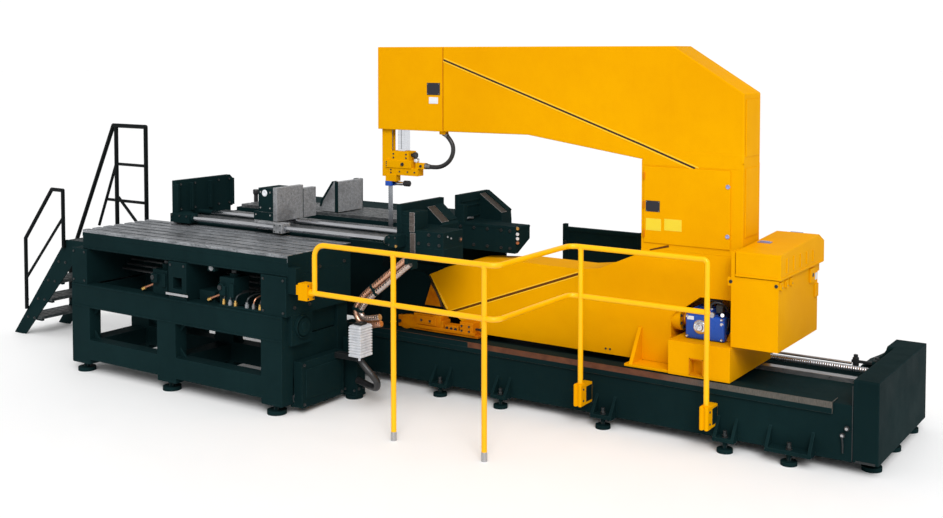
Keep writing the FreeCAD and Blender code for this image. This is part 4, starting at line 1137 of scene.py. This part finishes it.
bm = bmesh.new()
sweep(bm, curve_points([(-3110, -530, 300), (-3070, -530, 262), (-3022, -520, 215), (-3000, -500, 170), (-3018, -480, 128),
                        (-3070, -460, 118), (-3140, -440, 122), (-3222, -420, 130)], 8), 22, 16, mi=0)
for z in (70, 330):
    for y in (-412, -364):
        bolt(bm, (-3222, y, z), PX, 14, mi=1)
for x in (-3318, -3240):
    cap(bm, (x, -430, 60), NY, 8, 7, mi=1)
bx(bm, -3340, -3218, -434, -341, 20, 34, 3, mi=2)
done(bm, "canister_drain", [rubber, dark_bolt, dark_paint], "base")

# ribbed flat conduit, in its bends
bm = bmesh.new()
CON = [(-2790, -440, 958), (-2976, -440, 814), (-3149, -440, 681), (-3210, -440, 595), (-3175, -440, 532),
       (-3100, -440, 530), (-3014, -440, 554)]


def bspline(pts, per=14):
    P = [Vector(p) for p in pts]
    out = []
    for i in range(1, len(P) - 1):
        a = P[0] if i == 1 else (P[i - 1] + P[i]) / 2
        c = P[-1] if i == len(P) - 2 else (P[i] + P[i + 1]) / 2
        for j in range(per):
            t = j / per
            out.append(a * (1 - t) ** 2 + P[i] * 2 * t * (1 - t) + c * t * t)
    out.append(P[-1])
    return out


cl = bspline(CON, 24)
side = Vector((0, 1, 0))
left, right = [], []
for i, p in enumerate(cl):
    d = (cl[min(i + 1, len(cl) - 1)] - cl[max(i - 1, 0)]).normalized()
    nrm = d.cross(side).normalized()
    left.append(p + nrm * 21.0)
    right.append(p - nrm * 21.0)
sweep(bm, left, 19.0, 16, mi=0)
# second strand in the warm metal: painted orange reflection
sweep(bm, right, 19.0, 16, mi=2)
for path, mi in ((left, 0), (right, 2)):
    acc, last = 0.0, path[0]
    for i in range(1, len(path) - 1):
        acc += (path[i] - last).length
        last = path[i]
        if acc >= 14.0:
            acc = 0.0
            d = (path[i + 1] - path[i - 1]).normalized()
            sweep(bm, [path[i] - d * 4.0, path[i], path[i] + d * 4.0], 20.5, 16, mi=mi)
for i in (24, 58):
    d = (cl[i + 1] - cl[i - 1]).normalized()
    sweep(bm, [cl[i] - d * 9.0, cl[i], cl[i] + d * 9.0], 0, seg=16, mi=1, flat=(22.5, 41.5, (0, 1, 0)))
bx(bm, -2806, -2780, -466, -412, 940, 976, 4, mi=1)
o = done(bm, "flat_conduit", [conduit_m, dark_paint, conduit_orange_reflection], "base")
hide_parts("conduit")

# ---------------------------------------------------------------- clamping lanes
bm = bmesh.new()
for x in (-4900, -4500, -4100, -3700, -3300, -2985):
    for y in (-220, -12, 85):
        cap(bm, (x, y, 1061.4), PZ, 8, 2.2, mi=0)
    for y in (346, 446, 546, 646):
        cap(bm, (x, y, 1085.4), PZ, 8, 2.2, mi=0)
for y in (-340, -200, 40, 150):
    cap(bm, (-4970, y, 1118), PX, 8, 8, mi=0)
    cap(bm, (-4970, y, 1300), PX, 8, 8, mi=0)
cy(bm, (-5008, -150, 1080), NX, 24, 28, b=3, mi=1)
bolt(bm, (-5036, -150, 1080), NX, 24, mi=0)
cy(bm, (-4778, -400, 1070), PX, 27, 14, b=3, mi=1)
for z in (1014, 1086):
    for x in (-4950, -4870, -4797):
        cap(bm, (x, -440, z), NY, 7, 6, mi=0)
# sleeve over the left part of the rear rod
cy(bm, (-4969, -150, 1080), PX, 18.5, 138, seg=28, b=2, mi=1)
done(bm, "lane_screws", [dark_bolt, dark_paint], "base")
bm = bmesh.new()
lathe(bm, (-5014, 490, 1060), PZ, [(24, 0), (24, 10), (17, 14), (17, 78), (22, 84), (24, 92), (24, 112), (20, 120), (0, 120)], 28)
done(bm, "lane_post", [black_plastic], "base")
bm = bmesh.new()
for x in (-3947, -3884):
    cy(bm, (x, -400, 1070), PX, 28, 12, seg=28, b=1, mi=1)
for x in (-3935, -3884):
    for z in (1050, 1094):
        cap(bm, (x, -440, z), NY, 5, 4, mi=1)
lathe(bm, (-4113, -345.5, 1292), NY, [(24, -2), (24, 3), (21, 6), (10, 6), (9, 4), (0, 4)], 28, mi=2)
for x, z in ((-4150, 1190), (-4150, 1300), (-4060, 1190), (-4060, 1300), (-4195, 1140), (-4060, 1140)):
    cap(bm, (x, -345.2, z), NY, 7, 6, mi=3)
bx(bm, -4172.5, -4036, -347.5, -344, 1160, 1325, 1.0, mi=0)
bx(bm, -4218.5, -4036, -347.5, -344, 1101, 1158, 1.0, mi=0)
bx(bm, -4173, -4036, -347, -139, 1324, 1327, 0.8, mi=0)
bx(bm, -4219, -4173, -347, -76, 1157, 1161, 0.8, mi=0)
bx(bm, -4038, -4034, -140, 59, 1101, 1307, 0.8, mi=0)
for z in (1150, 1280):
    for y in (-300, -200):
        cap(bm, (-4000.4, y, z), PX, 7, 1.2, mi=3)
bx(bm, -4001, -3999.4, -79, -73, 1102, 1306, 0.4, 1, mi=0)
done(bm, "front_jaw_fittings", [dark_paint, dark_bolt, plate_white, zinc], "front_jaw")
bm = bmesh.new()
for z in (1140, 1270):
    for y in (350, 450, 550):
        cap(bm, (-4000.4, y, z), PX, 7, 1.2, mi=1)
poly(bm, [(-4181, 1128), (-4166, 1172), (-4057, 1320), (-4036, 1320), (-4146, 1168), (-4160, 1128)], "xz", 302, 343, 2, mi=0)
poly(bm, [(-4181, 1128), (-4166, 1172), (-4057, 1320), (-4036, 1320), (-4146, 1168), (-4160, 1128)], "xz", 552, 593, 2, mi=0)
bx(bm, -4030, -3999, 588, 594, 1092, 1320, 1.5, mi=0)
bx(bm, -4030, -3999, 301, 306, 1092, 1320, 1.5, mi=0)
done(bm, "rear_jaw_fittings", [dark_paint, zinc], "rear_jaw")
bm = bmesh.new()
# front fixed jaw: ribs on the block, bar between block and base, sloping strip, ring at the rod's end
for z in (1092, 1170, 1232):
    bx(bm, -2914, -2812, -348.5, -344, z, z + 9, 1.0, mi=3)
bx(bm, -2852, -2812, -349, -343, 1128, 1253, 1.5, mi=7)
bx(bm, -2846, -2806, -351, -344, 958, 1122, 1.5, mi=7)
bx(bm, -2812, -2808, -346, -208, 1142, 1250, 1.0, mi=3)
poly(bm, [(-2916, 1254), (-2801, 1159), (-2803, 1153), (-2916, 1248)], "xz", -64, 20, 1.0, mi=0)
poly(bm, [(-2916, 1262), (-2800, 1166), (-2803, 1153), (-2916, 1248)], "xz", 20, 114, 1.0, mi=3)
bx(bm, -2951.5, -2948, -340, 112, 1060, 1290, 1.0, mi=1)
for y in (-300, -180, -60, 60):
    for z in (1140, 1250):
        cap(bm, (-2951, y, z), NX, 7, 3, mi=1)
for x, z in ((-2700, 1060), (-2700, 1120), (-2620, 1060), (-2620, 1120), (-2780, 1060)):
    bolt(bm, (x, -345, z), NY, 15, mi=1)
for p in ((-2590, -300, 1112), (-2590, -262, 1098)):
    cap(bm, p, PX, 6, 6, mi=5)
lathe(bm, (-2590, -160, 1080), PX, [(15, 0), (15, 6), (11, 8), (11, 5), (0, 5)], 24, mi=1)
lathe(bm, (-2590, -160, 1080), PX, [(8, 0), (8, 10), (0, 10)], 20, mi=6)
lathe(bm, (-2996, -400, 1070), NX, [(31, -6), (31, 0), (28, 3), (21, 3), (20, 0), (18.5, 0)], 32, mi=4)
cy(bm, (-2883, -445, 1046), NY, 9, 8, mi=2)
for z in (1050, 1098):
    for x in (-2940, -2892):
        cap(bm, (x, -445, z), NY, 6, 5, mi=1)
done(bm, "front_fixed_jaw_fittings", [rusty, dark_bolt, brass, dark_paint, zinc, grey_plastic, copper, worn_bar], "base")
bm = bmesh.new()
poly(bm, [(-2916, 1281), (-2734, 1159), (-2737, 1153), (-2916, 1275)], "xz", 562, 634, 1.0, mi=0)
poly(bm, [(-2916, 1291), (-2732, 1168), (-2737, 1153), (-2916, 1275)], "xz", 634, 692, 1.0, mi=5)
for z in (1128, 1205, 1240):
    bx(bm, -2916, -2909, 330, 560, z, z + 10, 1.0, mi=5)
for x in (-2900, -2790, -2680, -2570, -2500):
    for z in (965, 1082):
        bolt(bm, (x, 300, z), NY, 15, mi=1)
for z, mi in ((1100, 6), (1062, 4), (1032, 4), (1004, 2)):
    cy(bm, (-2462, 322, z), (0.8, -0.6, 0), 11, 20, seg=20, b=2, mi=mi)
bx(bm, -2461, -2456, 304, 486, 1090, 1103, 1.5, mi=5)
sweep(bm, [Vector((-2905, 335, 1122)), Vector((-2905, 400, 1126)), Vector((-2905, 458, 1120))], 9, 12, mi=3)
bx(bm, -2872, -2520, 297, 301, 1094, 1108, 1.5, mi=5)
bx(bm, -2951.5, -2948, 320, 676, 1110, 1284, 1.0, mi=1)
done(bm, "rear_fixed_jaw_fittings", [rusty, dark_bolt, copper, steel, white_plastic, dark_paint, brass], "base")
bm = bmesh.new()
# guard panel behind the bed: folded edges, joint, latch, hinge barrels
for x0, x1, z0, z1 in ((-2440, -2418, 104, 1006), (-1902, -1880, 104, 1006), (-2440, -1880, 560, 584)):
    bx(bm, x0, x1, 953, 958.5, z0, z1, 1.6, mi=0)
    bx(bm, x0, x1, 981.5, 987, z0, z1, 1.6, mi=0)
bx(bm, -1930, -1915, 944, 958, 740, 840, 3, mi=1)
for z in (640, 920):
    cy(bm, (-2444, 950, z - 20), PZ, 7, 40, mi=1)
for x in (-2453, -1867):
    bx(bm, x - 15, x + 15, 1340, 1403, 38, 46, 2, mi=0)
    for y in (1040, 1388):
        bolt(bm, (x, y, 40), PZ, 14, mi=1)
done(bm, "guard_panel_fittings", [dark_paint, dark_bolt], "base")
bm = bmesh.new()
# rear stand: pads, bolts
for x in (-4980, -3950, -3260):
    bx(bm, x - 8, x + 158, 920, 1140, 0, 18, 3, mi=0)
    for xx in (x + 10, x + 140):
        bolt(bm, (xx, 926, 18), PZ, 1.0) if False else None
    for z in (700, 900):
        for dx in (30, 120):
            bolt(bm, (x + dx, 1130, z), PY, 20, mi=1)
for x0 in (-3700, -4980):
    bx(bm, x0 - 8, x0 + 128, -338, -162, 0, 16, 3, mi=0)
for x in (-4740, -4400, -4000, -3600, -3150, -2930, -2620):
    if x < -3300:
        bolt(bm, (x, 1150, 1010), PY, 18, mi=1)
    if x > -3260 or x < -3340:
        bolt(bm, (x, -345, 985), NY, 14, mi=1)
done(bm, "rear_stand_fittings", [dark_paint, dark_bolt], "base")

# ---------------------------------------------------------------- stair
bm = bmesh.new()
for i, z in enumerate((160, 322, 484, 646)):
    xm = -6752 + 71 + (z - 20) * (6752 - 6085) / 812.0
    bx(bm, xm - 62, xm - 52, -499, -91, z - 34, z + 2, 2, mi=0)
    for y in (-470, -120):
        bx(bm, xm - 40, xm + 130, y - 12, y + 12, z - 40, z - 22, 2, mi=1)
    for dx in (-30, 20, 70, 120):
        for j in range(6):
            bx(bm, xm + dx - 10, xm + dx + 10, -480 + j * 66, -480 + j * 66 + 30, z - 0.5, z + 2.2, 0.8, 1, mi=0)
for i in range(12):
    for j in range(6):
        bx(bm, -6060 + i * 54, -6060 + i * 54 + 22, -480 + j * 66, -480 + j * 66 + 30, 805.5, 808.2, 0.8, 1, mi=0)
bx(bm, -6085, -6075, -499, -91, 776, 809, 2, mi=0)
done(bm, "tread_pattern", [tread, dark_paint], "base")
bm = bmesh.new()
for z in (160, 322, 484, 646):
    xm = -6752 + 71 + (z - 20) * (6752 - 6085) / 812.0
    for dx in (0, 80):
        bolt(bm, (xm + dx, -512, z - 12 + dx * 0.0), NY, 14, mi=0)
for x, z in ((-6565, 290), (-6088, 775), (-5560, 780), (-5440, 780)):
    bolt(bm, (x, -512, z), NY, 14, mi=0)
for x, z in ((-6620, 200), (-6020, 775), (-5668, 775)):
    bolt(bm, (x, -78, z), PY, 14, mi=0)
for y0, y1 in ((-520, -492), (-98, -70)):
    bx(bm, -6740, -6632, y0 + 2, y1 - 2, 0, 10, 2, mi=1)
done(bm, "stair_bolts", [dark_bolt, dark_paint], "base")

# ---------------------------------------------------------------- guard rail fittings
bm = bmesh.new()
GY, GB = -935.0, -100.0
for x in (-2528, -1894):
    cy(bm, (x, GY, 700), PZ, 17.5, 6, seg=24, b=1.5, mi=0)
    cy(bm, (x, GY, 795 - 4), PZ, 19, 18, seg=24, b=3, mi=0)
    cy(bm, (x, GY, 1078), PZ, 18.5, 14, seg=24, b=3, mi=0)
for x in (-1745,):
    cy(bm, (x, GB, 791), PZ, 19, 18, seg=24, b=3, mi=0)
    cy(bm, (x, GB, 1078), PZ, 18.5, 14, seg=24, b=3, mi=0)
cy(bm, (-933, GB, 791), PZ, 19, 18, seg=24, b=3, mi=0)
done(bm, "rail_weld_collars", [rail_yellow], "base")
bm = bmesh.new()
for x in (-2528, -1894):
    lathe(bm, (x, GY, 0), PZ, [(17.5, 0), (17.5, 44), (16.2, 48)], 24, mi=0)
    cy(bm, (x, GY, 48), PZ, 16.6, 5, seg=24, b=0.5, mi=0)
done(bm, "rail_feet_pins", [steel], "base")
bm = bmesh.new()
for x in (-1745, -933):
    bx(bm, x - 26, x - 4, GB - 41, GB + 20, 130, 268, 7, 3, mi=0)
    bx(bm, x + 4, x + 26, GB - 41, GB + 20, 130, 268, 7, 3, mi=0)
    bx(bm, x - 6, x + 6, GB - 34, GB + 10, 140, 258, 2, mi=2)
    bx(bm, x - 29, x + 29, GB + 24, -2, 150, 246, 4, mi=3)
    for z in (165, 235):
        cap(bm, (x + 26, GB - 12, z), PX, 6, 5, mi=1)
for z in (764, 844):
    for y in (GY - 24, GY + 24):
        cap(bm, (-3168, y, z), PX, 5, 4, mi=1)
bx(bm, -3338, -3268, -960, GY + 24, 778, 942, 3, mi=3)
done(bm, "rail_clamps", [orange, dark_bolt, orange_shade_tone, dark_paint], "base")

# ---------------------------------------------------------------- stage
floor_mat = Mat("pale_floor")
fc = floor_mat.mix(floor_mat.rng(floor_mat.noise(0.5, 4.0), 0.3, 0.7), (0.93, 0.93, 0.93), (0.91, 0.91, 0.912))
floor_mat.end(fc, floor_mat.rng(floor_mat.noise(6.0, 4.0), 0.3, 0.7, 0.5, 0.6), 0.0, None, 0.0, 0.1, 0.25)
bm = bmesh.new()
bmesh.ops.create_circle(bm, cap_ends=True, radius=160.0, segments=64)
me = bpy.data.meshes.new("floor")
bm.to_mesh(me)
bm.free()
me.materials.append(floor_mat.m)
floor = bpy.data.objects.new("floor", me)
scene.collection.objects.link(floor)

world = bpy.data.worlds.new("studio")
scene.world = world
world.use_nodes = True
wt = world.node_tree
wt.nodes.clear()
wo = wt.nodes.new("ShaderNodeOutputWorld")
b1 = wt.nodes.new("ShaderNodeBackground")
b2 = wt.nodes.new("ShaderNodeBackground")
mx = wt.nodes.new("ShaderNodeMixShader")
lp = wt.nodes.new("ShaderNodeLightPath")
b1.inputs[0].default_value = (1.0, 1.0, 1.0, 1.0)
b1.inputs[1].default_value = 0.55
b2.inputs[0].default_value = (1.0, 1.0, 1.0, 1.0)
b2.inputs[1].default_value = 1.05
wt.links.new(lp.outputs["Is Camera Ray"], mx.inputs[0])
wt.links.new(b1.outputs[0], mx.inputs[1])
wt.links.new(b2.outputs[0], mx.inputs[2])
wt.links.new(mx.outputs[0], wo.inputs[0])


def sun(name, direction, strength, angle):
    li = bpy.data.lights.new(name, "SUN")
    li.energy = strength
    li.angle = math.radians(angle)
    ob = bpy.data.objects.new(name, li)
    scene.collection.objects.link(ob)
    ob.rotation_euler = (-Vector(direction)).to_track_quat("-Z", "Y").to_euler()
    return ob


sun("key", (0.50, -0.66, 0.62), 1.95, 30.0)
sun("fill", (0.25, -0.25, 0.93), 0.9, 60.0)

scene.view_settings.view_transform = "Standard"
scene.view_settings.look = "None"
